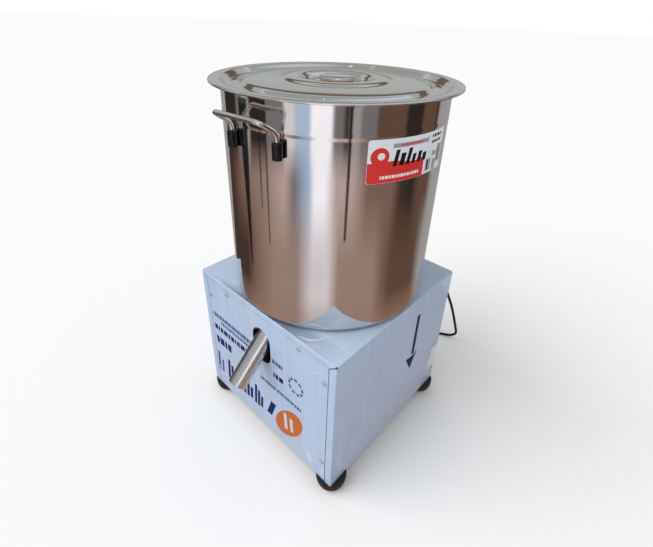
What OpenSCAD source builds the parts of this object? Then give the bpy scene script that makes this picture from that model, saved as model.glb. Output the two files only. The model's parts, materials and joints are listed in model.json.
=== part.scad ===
// Motorised honey extractor: a steel drum with a spinning basket on a sheet metal drive cabinet.
// Millimetres, +Z up. The drum axis is the line x = 0, y = axis_y, and the floor is z = 0.

/* [Cabinet] */
// Width of the cabinet, left to right
cab_w = 400; // [400:2:440]
// Depth of the cabinet, front to back
cab_d = 394; // [394:2:440]
// Height of the cabinet, without its feet
cab_h = 336; // [336:2:400]
// Thickness of the cabinet's sheet metal
sheet = 1.2; // [1:0.1:1.6]
// Width of the wrapper's return flanges around the front and back panels
flange_w = 17; // [15:1:20]

/* [Feet] */
// Radius of a rubber foot
foot_r = 32; // [28:1:34]
// Height of a rubber foot
foot_h = 28; // [26:1:36]
// Distance of a foot's centre from the cabinet's left or right side
foot_inset_x = 20; // [18:1:30]
// Distance of a foot's centre from the cabinet's front or back
foot_inset_y = 25; // [20:1:30]

/* [Drum] */
// Outer radius of the drum
drum_r = 200; // [198:1:202]
// Height of the drum, from its floor to the top of its rolled rim
drum_h = 404; // [390:2:430]
// Thickness of the drum's wall
wall = 1.2; // [1:0.1:1.5]
// Thickness of the rubber gasket between the drum and the cabinet
gasket_t = 4; // [3:0.5:6]

/* [Outlet] */
// Outer radius of the outlet pipe
pipe_r = 17; // [15:0.5:18]
// Thickness of the outlet pipe's wall
pipe_wall = 1.5; // [1.2:0.1:2]
// How far the pipe's end stands in front of the cabinet, on its axis
pipe_reach = 64; // [50:1:80]
// Width of the slot in the front panel
slot_w = 57; // [52:1:64]
// Height of the slot in the front panel
slot_h = 102; // [96:1:110]

/* [Handles] */
// Radius of a handle's bar
bar_r = 4; // [3.5:0.25:4.5]
// Distance between a handle's legs
handle_span = 95; // [86:1:100]
// Turn of the drum's handles from straight ahead
handle_turn = 5.4; // [0:0.2:8]
// Radius of a handle's sleeve
sleeve_r = 7.8; // [7:0.1:8.5]
// Length of a handle's sleeve
sleeve_h = 26; // [24:1:34]

/* [Lid] */
// Outer radius of the lid's brim
lid_r = 219; // [217:0.5:222]
// Thickness of the lid's sheet
lid_t = 1; // [0.8:0.1:1.2]
// Depth of the lid's dish
dish = 10; // [8:0.5:12]
// Radius of the lid's disc knob
knob_r = 31.5; // [26:0.5:34]

/* [Basket] */
// Outer radius of the perforated basket
basket_r = 170; // [160:1:172]
// Height of the perforated basket
basket_h = 300; // [260:5:310]
// Number of slots around the basket in each row
slots_round = 24; // [16:4:32]

/* [Drive] */
// Radius of the spindle in its bearings
spindle_r = 12.5; // [12.5:0.5:13]
// Outer radius of the driven pulley
driven_r = 55; // [50:1:58]
// Outer radius of the motor pulley
drive_r = 30; // [26:1:32]
// Distance from the spindle to the motor shaft
centres = 105; // [105:1:110]
// Radius of the motor's case, with its fins
motor_r = 68; // [62:1:70]

/* [Cord] */
// Diameter of the mains cord
cord_d = 7; // [6:0.5:8]

/* [Hidden] */
$fn = 64;
eps = 0.01;

// Heights, from the floor up
base_z = foot_h;
top_z = base_z + cab_h;
drum_z = top_z + gasket_t;
rim_z = drum_z + drum_h;
under_top = top_z - sheet;

// Cabinet openings and panels
half_w = cab_w / 2;
half_d = cab_d / 2;
panel_gap = 1.2;
panel_half = half_w - flange_w - panel_gap;
panel_top = top_z - 14 - panel_gap;
lip = 22;
screw_cols = [panel_half - 8, 109];
screw_rows = [base_z + 57, base_z + 280, base_z + 314];
panel_screws = [[-1, 0, 0], [1, 0, 0], [-1, 0, 1], [1, 0, 1], [-1, 1, 2], [1, 1, 2]];
slot_top = base_z + 300;
foot_xy = [[-1, -1], [1, -1], [-1, 1], [1, 1]];
bolt_x = half_w - foot_inset_x - 8;
bolt_y = half_d - foot_inset_y - 8;

// The drum's rim roll, bead and collar
roll_r = 3;
bead_z = rim_z - 52;
collar_r = 20;
collar_h = 50;
floor_t = 1.5;
corner_r = 7;

// The outlet pipe runs down and forwards at 45 degrees from a hole in the drum's floor
pipe_end = [0, -half_d - pipe_reach, 217];
pipe_top = drum_z;
pipe_len = (pipe_top - pipe_end[2]) * sqrt(2);
pipe_plain = 120;
socket_r = pipe_r + 1.8;

// The handles: the outer bar's distance from the drum axis and its heights
leg_v = sqrt(pow(drum_r + sleeve_r + 0.1, 2) - handle_span * handle_span / 4);
leg_foot_z = rim_z - 88;
leg_top_z = rim_z - 49;
bar_v = 236;
bar_z = rim_z - 28;

// Spindle, bearings and pulleys, from the floor up
pulley_z = 222;
pulley_h = 20;
housing_z = 252;
flange_t = 12;
bearing_r = 26;
bearing_h = 15;
seat_top_z = 338;
bolt_pcd = 100;
hub_z = 386;
hub_top = 470;
stud_r = 8;
washer_t = 2.5;
run = 0.04;

// Motor
motor_y = centres;
motor_z = 54.5;
motor_h = 140;
motor_shaft_r = 9.5;
bracket_t = 4;
isolator_h = 20;
plate_t = 1.5;
plate_z = base_z + sheet;

// Places on the back panel
gland_x = 146;
gland_z = 300;
switch_x = 70;
switch_z = 300;

// The cord's route, measured from the middle of the floor, with y from the drum axis
cord_route = [[146, 205, 300], [146, 223, 300], [146, 240, 299], [148, 262, 285], [153, 284, 252],
    [158, 306, 212], [163, 330, 168], [167, 352, 122], [170, 371, 80], [171.2, 380.5, 59],
    [172.2, 389.7, 38.2], [170.1, 394.2, 25.7], [162.9, 396.1, 14.5], [152.1, 395.1, 6.7],
    [138.9, 391.1, 3.7], [124.6, 382, 3.7], [114.6, 368.2, 3.7], [98, 328, 3.7], [84, 296, 3.7],
    [67, 270, 3.7], [45, 257, 3.7], [20, 252.5, 3.7]];
coil_at = [20, 301];
coil_r = 38;
plug_at = [coil_at[0] - coil_r - cord_d - 10, coil_at[1] + 5];

// The red lead's route inside the cabinet, from the capacitor to the terminal box
lead_route = [[-130, -100, 118], [-132, -118, 160], [-130, -140, 220], [-118, -160, 280],
    [-92, -176, 316], [-60, -184, 322], [-36, -187, 316], [-20, -187, 313], [-6, -187, 320],
    [20, -184, 332], [50, -172, 342], [84, -140, 345], [108, -90, 340], [116, -30, 318],
    [112, 20, 270], [104, 60, 222], [96, 84, 190]];
lead_r = 2.2;

// Half of the difference between the object's reach to the front and to the back
front_reach = half_d + pipe_reach + pipe_r * cos(45);
back_reach = (bar_v + bar_r) * cos(handle_turn) + (handle_span / 2 - 12.7) * sin(handle_turn);
axis_y = (front_reach - back_reach) / 2;

// ---------- Shapes used by several pieces ----------

module at_axis() { translate([0, axis_y, 0]) children(); }

// A ring of rectangular section
module ring(r_out, r_in, h) {
    rotate_extrude() translate([r_in, 0]) square([r_out - r_in, h]);
}

// A block given by its lowest and highest corner
module block(low, high) { translate(low) cube(high - low); }

// A point on a Catmull-Rom curve between p1 and p2
function between(p0, p1, p2, p3, t) =
    0.5 * (2 * p1 + (p2 - p0) * t + (2 * p0 - 5 * p1 + 4 * p2 - p3) * t * t
    + (3 * p1 - p0 - 3 * p2 + p3) * t * t * t);

// A smooth curve through the points, with n steps from each to the next
function smooth(p, n) = concat(
    [for (i = [0 : len(p) - 2]) for (k = [0 : n - 1])
        between(p[max(i - 1, 0)], p[i], p[i + 1], p[min(i + 2, len(p) - 1)], k / n)],
    [p[len(p) - 1]]);

// A path with each inner corner rounded, with n steps round each corner
function toward(p, q, d) = p + (q - p) * d / norm(q - p);
function rounded(p, d, n) = concat([p[0]],
    [for (i = [1 : len(p) - 2]) for (k = [0 : n])
        let (t = k / n, a = toward(p[i], p[i - 1], d[i]), b = toward(p[i], p[i + 1], d[i]))
        a * (1 - t) * (1 - t) + p[i] * 2 * t * (1 - t) + b * t * t],
    [p[len(p) - 1]]);

function unit(v) = v / norm(v);
function along(p) = [for (i = [0 : len(p) - 1])
    unit(p[min(i + 1, len(p) - 1)] - p[max(i - 1, 0)])];
function across(t) = [for (i = 0, n = unit(cross(t[0], [0.3, 0.2, 0.9])); i < len(t);
    i = i + 1, n = unit(n - t[min(i, len(t) - 1)] * (n * t[min(i, len(t) - 1)]))) n];

// A round bar swept along a path
module sweep(path, r, sides) {
    t = along(path);
    n = across(t);
    last = len(path) - 1;
    points = [for (i = [0 : last]) for (k = [0 : sides - 1]) let (a = 360 * k / sides)
        path[i] + r * (cos(a) * n[i] + sin(a) * cross(t[i], n[i]))];
    skin = [for (i = [0 : last - 1]) for (k = [0 : sides - 1]) let (m = (k + 1) % sides)
        [i * sides + k, (i + 1) * sides + k, (i + 1) * sides + m, i * sides + m]];
    ends = [[for (k = [0 : sides - 1]) k], [for (k = [sides - 1 : -1 : 0]) last * sides + k]];
    polyhedron(points, concat(skin, ends), convexity = 10);
}

// A hexagon head or nut, h high, af across its flats
module hexagon(af, h) { cylinder(d = af / cos(30), h = h, $fn = 6); }

// A pan head screw that points along -Z, with its head's underside at z = 0
module pan_screw(head_r, head_h, shank_r, shank_l) {
    difference() {
        union() {
            cylinder(r = head_r, h = head_h * 0.45);
            translate([0, 0, head_h * 0.45]) cylinder(r1 = head_r, r2 = head_r * 0.62, h = head_h * 0.55);
            translate([0, 0, -shank_l]) cylinder(r = shank_r, h = shank_l);
        }
        for (a = [0, 90]) rotate(a) translate([-head_r * 0.55, -0.5, head_h * 0.4])
            cube([head_r * 1.1, 1, head_h]);
    }
}

// ---------- Cabinet ----------

// The flanges and joggled lips around one open end of the wrapper, at y = -half_d
module end_frame() {
    in = flange_w;
    deep = 2.6 + sheet;
    for (s = [-1, 1]) scale([s, 1, 1]) {
        block([half_w - in, -half_d, base_z], [half_w - sheet + eps, -half_d + sheet, top_z - eps]);
        block([half_w - in - sheet, -half_d, base_z], [half_w - in, -half_d + deep, top_z - 14]);
        block([half_w - in - lip, -half_d + deep - sheet, base_z + 30],
            [half_w - in - eps, -half_d + deep, top_z - 14]);
    }
    block([-half_w + in - eps, -half_d, top_z - 14], [half_w - in + eps, -half_d + sheet, top_z - eps]);
    block([-half_w + in, -half_d, top_z - 14], [half_w - in, -half_d + deep, top_z - 14 + sheet]);
    block([-half_w + in, -half_d + deep - sheet, top_z - 14 - lip],
        [half_w - in, -half_d + deep, top_z - 14 + eps]);
}

// The slit between the top and side flanges where they meet in a mitre, at y = -half_d
module mitre() {
    inner = [half_w - flange_w, top_z - 14];
    run_x = flange_w - sheet - 1;
    run_z = run_x * 14 / flange_w;
    for (s = [-1, 1]) scale([s, 1, 1]) translate([0, -half_d - 1, 0]) rotate([90, 0, 0]) mirror([0, 0, 1])
        linear_extrude(1 + sheet + 0.2) polygon([inner, inner + [run_x, run_z], inner + [run_x, run_z + 0.8],
            inner + [0, 0.8]]);
}

module cabinet_wrapper() {
    color("lightsteelblue") difference() {
        union() {
            block([-half_w, -half_d, under_top], [half_w, half_d, top_z]);
            for (x = [-half_w, half_w - sheet])
                block([x, -half_d, base_z], [x + sheet, half_d, top_z - eps]);
            for (s = [-1, 1]) scale([s, 1, 1])
                block([half_w - 36, -half_d + 40, base_z], [half_w - eps, half_d - 40, base_z + sheet]);
            end_frame();
            scale([1, -1, 1]) end_frame();
        }
        translate([0, 0, under_top - 1]) cylinder(r = 24, h = 4);
        block([-22, -150, under_top - 1], [22, -80, top_z + 1]);
        for (a = [45 : 90 : 315]) rotate(a) translate([bolt_pcd / 2, 0, under_top - 1])
            cylinder(r = 4.5, h = 4);
        for (side = [-1, 1]) scale([1, side, 1]) {
            screw_holes();
            mitre();
        }
    }
}

// The holes for one panel's screws, at y = -half_d
module screw_holes() {
    for (s = panel_screws) translate([s[0] * screw_cols[s[1]], -half_d - 5, screw_rows[s[2]]])
        rotate([-90, 0, 0]) cylinder(r = 2.3, h = 20);
}

// A panel that fills one open end of the wrapper, standing at y = -half_d
module plain_panel() {
    difference() {
        block([-panel_half, -half_d + 0.4, base_z], [panel_half, -half_d + 0.4 + sheet, panel_top]);
        screw_holes();
    }
}

module front_panel() {
    r = slot_w / 2;
    color("lightsteelblue") difference() {
        plain_panel();
        translate([0, -half_d - 5, slot_top - r]) rotate([-90, 0, 0]) cylinder(r = r, h = 20);
        translate([0, -half_d - 5, slot_top - slot_h + r]) rotate([-90, 0, 0]) cylinder(r = r, h = 20);
        block([-r, -half_d - 5, slot_top - slot_h + r], [r, -half_d + 15, slot_top - r]);
    }
}

module back_panel() {
    color("lightsteelblue") difference() {
        scale([1, -1, 1]) plain_panel();
        translate([gland_x, half_d - 10, gland_z]) rotate([-90, 0, 0]) cylinder(r = 8, h = 20);
        block([switch_x - 14, half_d - 10, switch_z - 11], [switch_x + 14, half_d + 10, switch_z + 11]);
        for (i = [-3 : 3]) block([-70 + i * 14, half_d - 10, base_z + 60],
            [-66 + i * 14, half_d + 10, base_z + 120]);
    }
}

module panel_screws() {
    for (s = panel_screws)
        translate([s[0] * screw_cols[s[1]], -half_d + 0.4, screw_rows[s[2]]])
            rotate([90, 0, 0]) pan_screw(4.8, 2.8, 2.2, 8);
}

module front_panel_screws() { color("silver") panel_screws(); }
module back_panel_screws() { color("silver") scale([1, -1, 1]) panel_screws(); }

module bottom_plate() {
    x = half_w - sheet - 0.6;
    y = half_d - 8;
    color("silver") difference() {
        block([-x, -y, plate_z], [x, y, plate_z + plate_t]);
        for (f = foot_xy) translate([f[0] * bolt_x, f[1] * bolt_y, plate_z - 1]) cylinder(r = 4.2, h = 4);
        for (f = foot_xy) translate([f[0] * 50, motor_y + f[1] * 50, plate_z - 1]) cylinder(r = 4, h = 4);
        for (i = [-4 : 4]) block([i * 14 - 3, -90, plate_z - 1], [i * 14 + 3, -40, plate_z + 3]);
    }
}

// ---------- Feet ----------

// A domed rubber foot, its sole on the floor and its top against the cabinet
module foot(fx, fy) {
    x = fx * (half_w - foot_inset_x);
    y = fy * (half_d - foot_inset_y);
    color("black") difference() {
        translate([x, y, 0]) rotate_extrude() polygon(concat([[0, 0]],
            [for (a = [0 : 9 : 90])
                [foot_r - 16 + 16 * pow(sin(a), 0.7), (foot_h - 3) * (1 - cos(a)) * 0.96]],
            [[foot_r, foot_h - 0.2], [foot_r - 1, foot_h], [0, foot_h]]));
        translate([fx * bolt_x, fy * bolt_y, -1]) {
            cylinder(r = 4, h = foot_h + 2);
            cylinder(r = 10, h = 9);
        }
    }
}

module foot_front_left() { foot(-1, -1); }
module foot_front_right() { foot(1, -1); }
module foot_back_left() { foot(-1, 1); }
module foot_back_right() { foot(1, 1); }

module foot_bolts() {
    color("silver") for (f = foot_xy)
        translate([f[0] * bolt_x, f[1] * bolt_y, 0]) {
            translate([0, 0, 4]) cylinder(r = 8, h = 4);
            translate([0, 0, 8 - eps]) cylinder(r = 4, h = plate_z + plate_t + 9 - 8);
            translate([0, 0, plate_z + plate_t]) hexagon(13, 6.5);
        }
}

// ---------- Drum ----------

// A hole along the outlet pipe's axis
module pipe_bore(r, extra) {
    translate(pipe_end) rotate([-45, 0, 0]) translate([0, 0, -extra]) cylinder(r = r, h = pipe_len + 40);
}

module drum_gasket() {
    color("dimgray") difference() {
        translate([0, 0, top_z]) cylinder(r = drum_r - 9, h = gasket_t);
        translate([0, 0, top_z - 1]) cylinder(r = 26, h = gasket_t + 2);
        block([-24, -152, top_z - 1], [24, -78, drum_z + 1]);
        for (a = [45 : 90 : 315]) rotate(a) translate([bolt_pcd / 2, 0, top_z - 1])
            cylinder(r = 4.5, h = gasket_t + 2);
    }
}

// The rolled wall, with its bead and the roll around its rim
module drum() {
    seam_z = drum_z + corner_r;
    color("gainsboro") rotate_extrude(convexity = 6) {
        translate([drum_r - wall, seam_z]) square([wall, rim_z - roll_r - seam_z]);
        translate([drum_r + 2.3, rim_z - roll_r]) circle(r = roll_r);
        translate([drum_r - eps, bead_z]) polygon([[0, 0], [1.4, 1.8], [1.4, 7.6], [0, 9.4]]);
    }
}

// The pressed floor, welded to the wall's lower edge, with a collar around the spindle
module drum_floor() {
    color("gainsboro") difference() {
        rotate_extrude(convexity = 6) {
            difference() {
                union() {
                    translate([0, drum_z]) square([drum_r - corner_r, corner_r]);
                    intersection() {
                        translate([drum_r - corner_r, drum_z + corner_r]) circle(r = corner_r);
                        translate([0, drum_z]) square([drum_r, corner_r]);
                    }
                }
                translate([-1, drum_z + floor_t]) square([drum_r - corner_r + 1, corner_r]);
                translate([drum_r - corner_r, drum_z + corner_r]) circle(r = corner_r - wall);
            }
            translate([collar_r, drum_z + floor_t - eps]) square([wall, collar_h]);
        }
        translate([0, 0, drum_z - 1]) cylinder(r = collar_r, h = 10);
        for (a = [45 : 90 : 315]) rotate(a) translate([bolt_pcd / 2, 0, drum_z - 1])
            cylinder(r = 4.5, h = 4);
        pipe_bore(pipe_r - pipe_wall, 0);
    }
}

// The plain pipe is pushed into a wider socket that is welded to the drum's floor
module outlet_pipe() {
    color("silver") difference() {
        union() {
            pipe_bore(pipe_r, 0);
            translate(pipe_end) rotate([-45, 0, 0]) translate([0, 0, pipe_plain])
                cylinder(r = socket_r, h = pipe_len);
        }
        pipe_bore(pipe_r - pipe_wall, 20);
        translate([-60, -300, drum_z]) cube([120, 600, 200]);
    }
}

// ---------- Handles ----------

// A handle stands out from the drum at x = 0 on the -Y side, before its turn
module place_handle(side) { rotate(handle_turn + (side > 0 ? 180 : 0)) children(); }

module handle() {
    s = handle_span / 2;
    path = rounded([[-s, -leg_v, leg_foot_z + 4], [-s, -leg_v, leg_top_z], [-s, -bar_v, bar_z],
        [s, -bar_v, bar_z], [s, -leg_v, leg_top_z], [s, -leg_v, leg_foot_z + 4]],
        [0, 12.5, 14, 14, 12.5, 0], 7);
    sweep(path, bar_r, 16);
    for (x = [-s, s])
        block([x - 1.5, -leg_v + 2, leg_foot_z + 8], [x + 1.5, -leg_v + sleeve_r + 1.2, leg_foot_z + 24]);
}

module handle_front() { color("silver") place_handle(-1) difference() { handle(); drum_cut(); } }
module handle_back() { color("silver") place_handle(1) difference() { handle(); drum_cut(); } }
module drum_cut() { translate([0, 0, drum_z]) cylinder(r = drum_r, h = drum_h, $fn = 256); }

// A moulded sleeve around the foot of a handle's leg
module sleeve(side, sx) {
    x = sx * handle_span / 2;
    color("black") place_handle(side) difference() {
        translate([x, -leg_v, leg_foot_z]) {
            cylinder(r = sleeve_r - 0.8, h = sleeve_h);
            translate([0, 0, 1]) cylinder(r = sleeve_r, h = sleeve_h - 2);
        }
        translate([x, -leg_v, leg_foot_z + 3.9]) cylinder(r = bar_r + 0.05, h = sleeve_h);
        block([x - 1.6, -leg_v, leg_foot_z + 7.9], [x + 1.6, -leg_v + 20, leg_foot_z + 24.1]);
    }
}

module sleeve_front_left() { sleeve(-1, -1); }
module sleeve_front_right() { sleeve(-1, 1); }
module sleeve_back_left() { sleeve(1, 1); }
module sleeve_back_right() { sleeve(1, -1); }

// ---------- Lid ----------

// The lid's upper line, from the middle out, as radius and height above the brim
lid_line = [[0, -8], [52, -8], [56, -7.2], [58.5, -4], [61, 0.6], [65, 2], [76, 2.6], [87, 2],
    [92, 1], [96, -0.9], [102, -1.2], [135, -1.8], [157, -3.2], [162, -4.6], [165, -8],
    [169, 0.2 - dish], [187, -dish], [191, 0.8 - dish], [197.6, -2.4], [199.2, -0.8], [201.2, 0],
    [lid_r, 0]];

// The same line moved by t across the sheet, to its underside
function underside(p, t) = [for (i = [0 : len(p) - 2])
    let (d = unit(p[i + 1] - p[max(i - 1, 0)])) p[i] + t * [i == 0 ? 0 : d[1], -d[0]]];
function backwards(p) = [for (i = [len(p) - 1 : -1 : 0]) p[i]];

module lid() {
    color("gainsboro") translate([0, 0, rim_z + lid_t]) difference() {
        rotate_extrude(convexity = 6) polygon(concat(lid_line,
            [[lid_r, -3], [lid_r - lid_t, -3], [lid_r - lid_t, -lid_t]],
            backwards(underside(lid_line, lid_t))));
        translate([0, 0, -20]) cylinder(r = 2.6, h = 30);
    }
}

knob_z = rim_z + lid_t - 8;
spacer_h = 5.2;

module lid_knob_spacer() {
    color("darkorange") translate([0, 0, knob_z]) difference() {
        cylinder(r = knob_r - 2.5, h = spacer_h);
        translate([0, 0, -1]) cylinder(r = 2.6, h = 8);
    }
}

module lid_knob() {
    color("silver") translate([0, 0, knob_z + spacer_h]) difference() {
        rotate_extrude() polygon([[0, 0], [knob_r - 0.9, 0], [knob_r, 0.8], [knob_r, 4],
            [knob_r - 1.1, 5.4], [27, 6.1], [15, 6.7], [0, 6.8]]);
        translate([0, 0, -1]) cylinder(r = 2.5, h = 5);
    }
}

module lid_knob_screw() {
    color("silver") translate([0, 0, knob_z]) {
        translate([0, 0, -lid_t - 3]) cylinder(r = 5, h = 3);
        translate([0, 0, -lid_t - eps]) cylinder(r = 2.4, h = lid_t + 9);
    }
}

// ---------- Basket and spindle ----------

module basket() {
    z = hub_z + 5;
    color("gainsboro") difference() {
        union() {
            translate([0, 0, z]) ring(basket_r, 30, 2);
            translate([0, 0, z]) ring(basket_r, basket_r - 1.5, basket_h);
            translate([0, 0, z + basket_h - 3]) rotate_extrude()
                translate([basket_r + 1.5, 0]) circle(r = 3);
        }
        for (a = [0 : 360 / slots_round : 179]) rotate(a) for (row = [0 : 2])
            block([-basket_r - 2, -2, z + 22 + row * 92], [basket_r + 2, 2, z + 82 + row * 92]);
        for (a = [30 : 60 : 330]) rotate(a) translate([46, 0, z - 1]) cylinder(r = 3.2, h = 5);
    }
}

module basket_hub() {
    color("silver") difference() {
        rotate_extrude() polygon([[spindle_r, hub_z + 45], [25, hub_z + 40], [25, hub_z],
            [60, hub_z], [60, hub_z + 5], [30, hub_z + 5], [30, hub_z + 50], [22, hub_top],
            [spindle_r, hub_top]]);
        for (a = [30 : 60 : 330]) rotate(a) translate([46, 0, hub_z - 1]) cylinder(r = 3.1, h = 8);
    }
}

module hub_bolts() {
    color("silver") for (a = [30 : 60 : 330]) rotate(a) translate([46, 0, hub_z + 7]) {
        hexagon(10, 4);
        translate([0, 0, -6]) cylinder(r = 3, h = 7);
    }
}

module hub_washer() {
    color("silver") translate([0, 0, hub_top]) ring(20, stud_r, washer_t);
}

module basket_nut() {
    z = hub_top + washer_t;
    color("silver") difference() {
        union() {
            translate([0, 0, z]) cylinder(r = 16, h = 6);
            translate([0, 0, z + 6 - eps]) hexagon(26, 16);
            translate([0, 0, z + 22 - 2 * eps]) cylinder(r1 = 12, r2 = 7, h = 6);
        }
        translate([0, 0, z - 1]) cylinder(r = stud_r, h = 19);
    }
}

module spindle() {
    color("silver") {
        translate([0, 0, pulley_z]) cylinder(r = spindle_r, h = hub_top - pulley_z);
        translate([0, 0, hub_top - eps]) cylinder(r = stud_r, h = 17);
    }
}

module shaft_seal() {
    color("dimgray") translate([0, 0, seat_top_z + bearing_h + 1]) ring(bearing_r, spindle_r + run, 8);
}

module bearing_housing() {
    r = 36;
    color("slategray") difference() {
        union() {
            translate([0, 0, under_top - flange_t]) cylinder(r = 62, h = flange_t);
            translate([0, 0, housing_z]) cylinder(r = r, h = under_top - housing_z - 1);
            for (a = [0 : 90 : 270]) rotate(a)
                block([30, -4, housing_z + 30], [50, 4, under_top - 2]);
        }
        translate([0, 0, housing_z - 1]) cylinder(r = 22, h = 200);
        translate([0, 0, seat_top_z]) cylinder(r = bearing_r, h = 60);
        translate([0, 0, housing_z - 1]) cylinder(r = bearing_r, h = bearing_h + 4);
        for (a = [45 : 90 : 315]) rotate(a) translate([bolt_pcd / 2, 0, under_top - flange_t - 1])
            cylinder(r = 4.5, h = flange_t + 2);
    }
}

// A sealed ball bearing, modelled as its two rings and the shields between them
module bearing() {
    color("silver") rotate_extrude() polygon([[spindle_r + run, 0], [17, 0], [17, 1], [21.5, 1], [21.5, 0],
        [bearing_r, 0], [bearing_r, bearing_h], [21.5, bearing_h], [21.5, bearing_h - 1],
        [17, bearing_h - 1], [17, bearing_h], [spindle_r + run, bearing_h]]);
}

module bearing_upper() { translate([0, 0, seat_top_z]) bearing(); }
module bearing_lower() { translate([0, 0, housing_z + 3]) bearing(); }

module bearing_circlip() {
    color("dimgray") translate([0, 0, housing_z + 1.2]) difference() {
        ring(bearing_r, 22.5, 1.8);
        block([20, -3, -1], [30, 3, 3]);
    }
}

module housing_bolts() {
    color("silver") for (a = [45 : 90 : 315]) rotate(a) translate([bolt_pcd / 2, 0, drum_z + floor_t]) {
        hexagon(13, 5.5);
        translate([0, 0, -34]) cylinder(r = 4, h = 35);
    }
}

module housing_nuts() {
    color("silver") for (a = [45 : 90 : 315]) rotate(a)
        translate([bolt_pcd / 2, 0, under_top - flange_t - 6.5]) difference() {
            hexagon(13, 6.5);
            translate([0, 0, -1]) cylinder(r = 4, h = 9);
        }
}

// ---------- Belt drive ----------

// A grooved pulley with its web, around the Z axis
module pulley(r, bore) {
    rotate_extrude() polygon([[bore, 0], [r, 0], [r, 2.4], [r - 11, 4.4], [r - 11, pulley_h - 4.4],
        [r, pulley_h - 2.4], [r, pulley_h], [bore, pulley_h]]);
}

module driven_pulley() {
    color("slategray") translate([0, 0, pulley_z]) difference() {
        pulley(driven_r, spindle_r);
        for (a = [0 : 60 : 300]) rotate(a) translate([29, 0, -1]) cylinder(r = 8, h = pulley_h + 2);
    }
}

module pulley_bolt() {
    color("silver") {
        translate([0, 0, pulley_z - 3]) cylinder(r = 18, h = 3);
        translate([0, 0, pulley_z - 9]) hexagon(17, 6 + eps);
    }
}

module motor_pulley() {
    color("slategray") translate([0, motor_y, pulley_z]) pulley(drive_r, motor_shaft_r);
}

module v_belt() {
    color("black") translate([0, 0, pulley_z + pulley_h / 2 - 4.8]) difference() {
        linear_extrude(9.6) hull() {
            circle(r = driven_r - 1.2);
            translate([0, motor_y]) circle(r = drive_r - 1.2);
        }
        translate([0, 0, -1]) linear_extrude(12) hull() {
            circle(r = driven_r - 10);
            translate([0, motor_y]) circle(r = drive_r - 10);
        }
    }
}

// ---------- Motor ----------

module motor_case() {
    color("steelblue") translate([0, motor_y, motor_z]) difference() {
        union() {
            cylinder(r = motor_r - 6, h = motor_h);
            cylinder(r = motor_r, h = 8);
            for (a = [0 : 15 : 345]) rotate(a) block([motor_r - 8, -1, 2], [motor_r, 1, motor_h]);
        }
        translate([0, 0, 10]) cylinder(r = motor_r - 10, h = motor_h);
        translate([0, 0, -1]) cylinder(r = motor_shaft_r + run, h = 20);
        for (f = foot_xy) translate([f[0] * 42, f[1] * 42, -1]) cylinder(r = 3.2, h = 10);
    }
}

module motor_bell() {
    color("steelblue") translate([0, motor_y, motor_z + motor_h]) difference() {
        union() {
            cylinder(r = motor_r, h = 5);
            translate([0, 0, 5 - eps]) cylinder(r1 = motor_r - 4, r2 = 30, h = 9);
        }
        translate([0, 0, -1]) cylinder(r = motor_shaft_r + run, h = 20);
    }
}

module motor_stator() {
    color("sienna") translate([0, motor_y, motor_z + 24]) ring(motor_r - 10, 37, 90);
}

module motor_rotor() {
    color("silver") translate([0, motor_y, 0]) {
        translate([0, 0, motor_z + 2]) cylinder(r = motor_shaft_r, h = pulley_z + pulley_h + 4 - motor_z - 2);
        translate([0, 0, motor_z + 26]) cylinder(r = 36, h = 86);
    }
}

module motor_bracket() {
    z = motor_z - bracket_t;
    color("silver") translate([0, motor_y, z]) difference() {
        block([-66, -66, 0], [66, 66, bracket_t]);
        translate([0, 0, -1]) cylinder(r = 26, h = bracket_t + 2);
        for (f = foot_xy) {
            translate([f[0] * 42, f[1] * 42, -1]) cylinder(r = 3.2, h = 10);
            translate([f[0] * 50, f[1] * 50, -1]) cylinder(r = 4, h = 10);
        }
    }
}

module motor_isolators() {
    color("black") for (f = foot_xy)
        translate([f[0] * 50, motor_y + f[1] * 50, plate_z + plate_t]) difference() {
            cylinder(r = 5.8, h = motor_z - bracket_t - plate_z - plate_t);
            translate([0, 0, -1]) cylinder(r = 3.9, h = 40);
        }
}

module motor_bolts() {
    color("silver") for (f = foot_xy) translate([f[0] * 50, motor_y + f[1] * 50, 0]) {
        translate([0, 0, plate_z - 4]) hexagon(12, 4);
        translate([0, 0, plate_z - eps]) cylinder(r = 3.9, h = motor_z - plate_z + eps);
    }
}

module terminal_box() {
    color("dimgray")
        block([motor_r, motor_y - 22, motor_z + 80], [motor_r + 32, motor_y + 22, motor_z + 132]);
}

module capacitor() {
    color("gainsboro") translate([-130, -100, plate_z + plate_t]) {
        cylinder(r = 20, h = 80);
        translate([0, 0, 80 - eps]) cylinder(r = 8, h = 5);
    }
}

module capacitor_clip() {
    color("silver") translate([-130, -100, plate_z + plate_t]) difference() {
        union() {
            translate([0, 0, 25]) cylinder(r = 21.5, h = 16);
            block([19, -8, 0], [21.5, 8, 41]);
            block([19, -8, 0], [36, 8, 1.5]);
        }
        translate([0, 0, -1]) cylinder(r = 20, h = 90);
    }
}

module red_lead() { color("red") sweep(smooth(lead_route, 3), lead_r, 8); }

// ---------- Switch, gland and cord ----------

module switch_body() {
    color("black") difference() {
        union() {
            block([switch_x - 16, half_d - 0.4, switch_z - 13], [switch_x + 16, half_d + 1.8, switch_z + 13]);
            block([switch_x - 13.6, half_d - 26, switch_z - 10.6],
                [switch_x + 13.6, half_d, switch_z + 10.6]);
        }
        block([switch_x - 11, half_d - 9, switch_z - 8], [switch_x + 11, half_d + 5, switch_z + 8]);
        translate([switch_x - 12.6, half_d - 3, switch_z]) rotate([0, 90, 0]) cylinder(r = 1.7, h = 25.2);
    }
}

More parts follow.
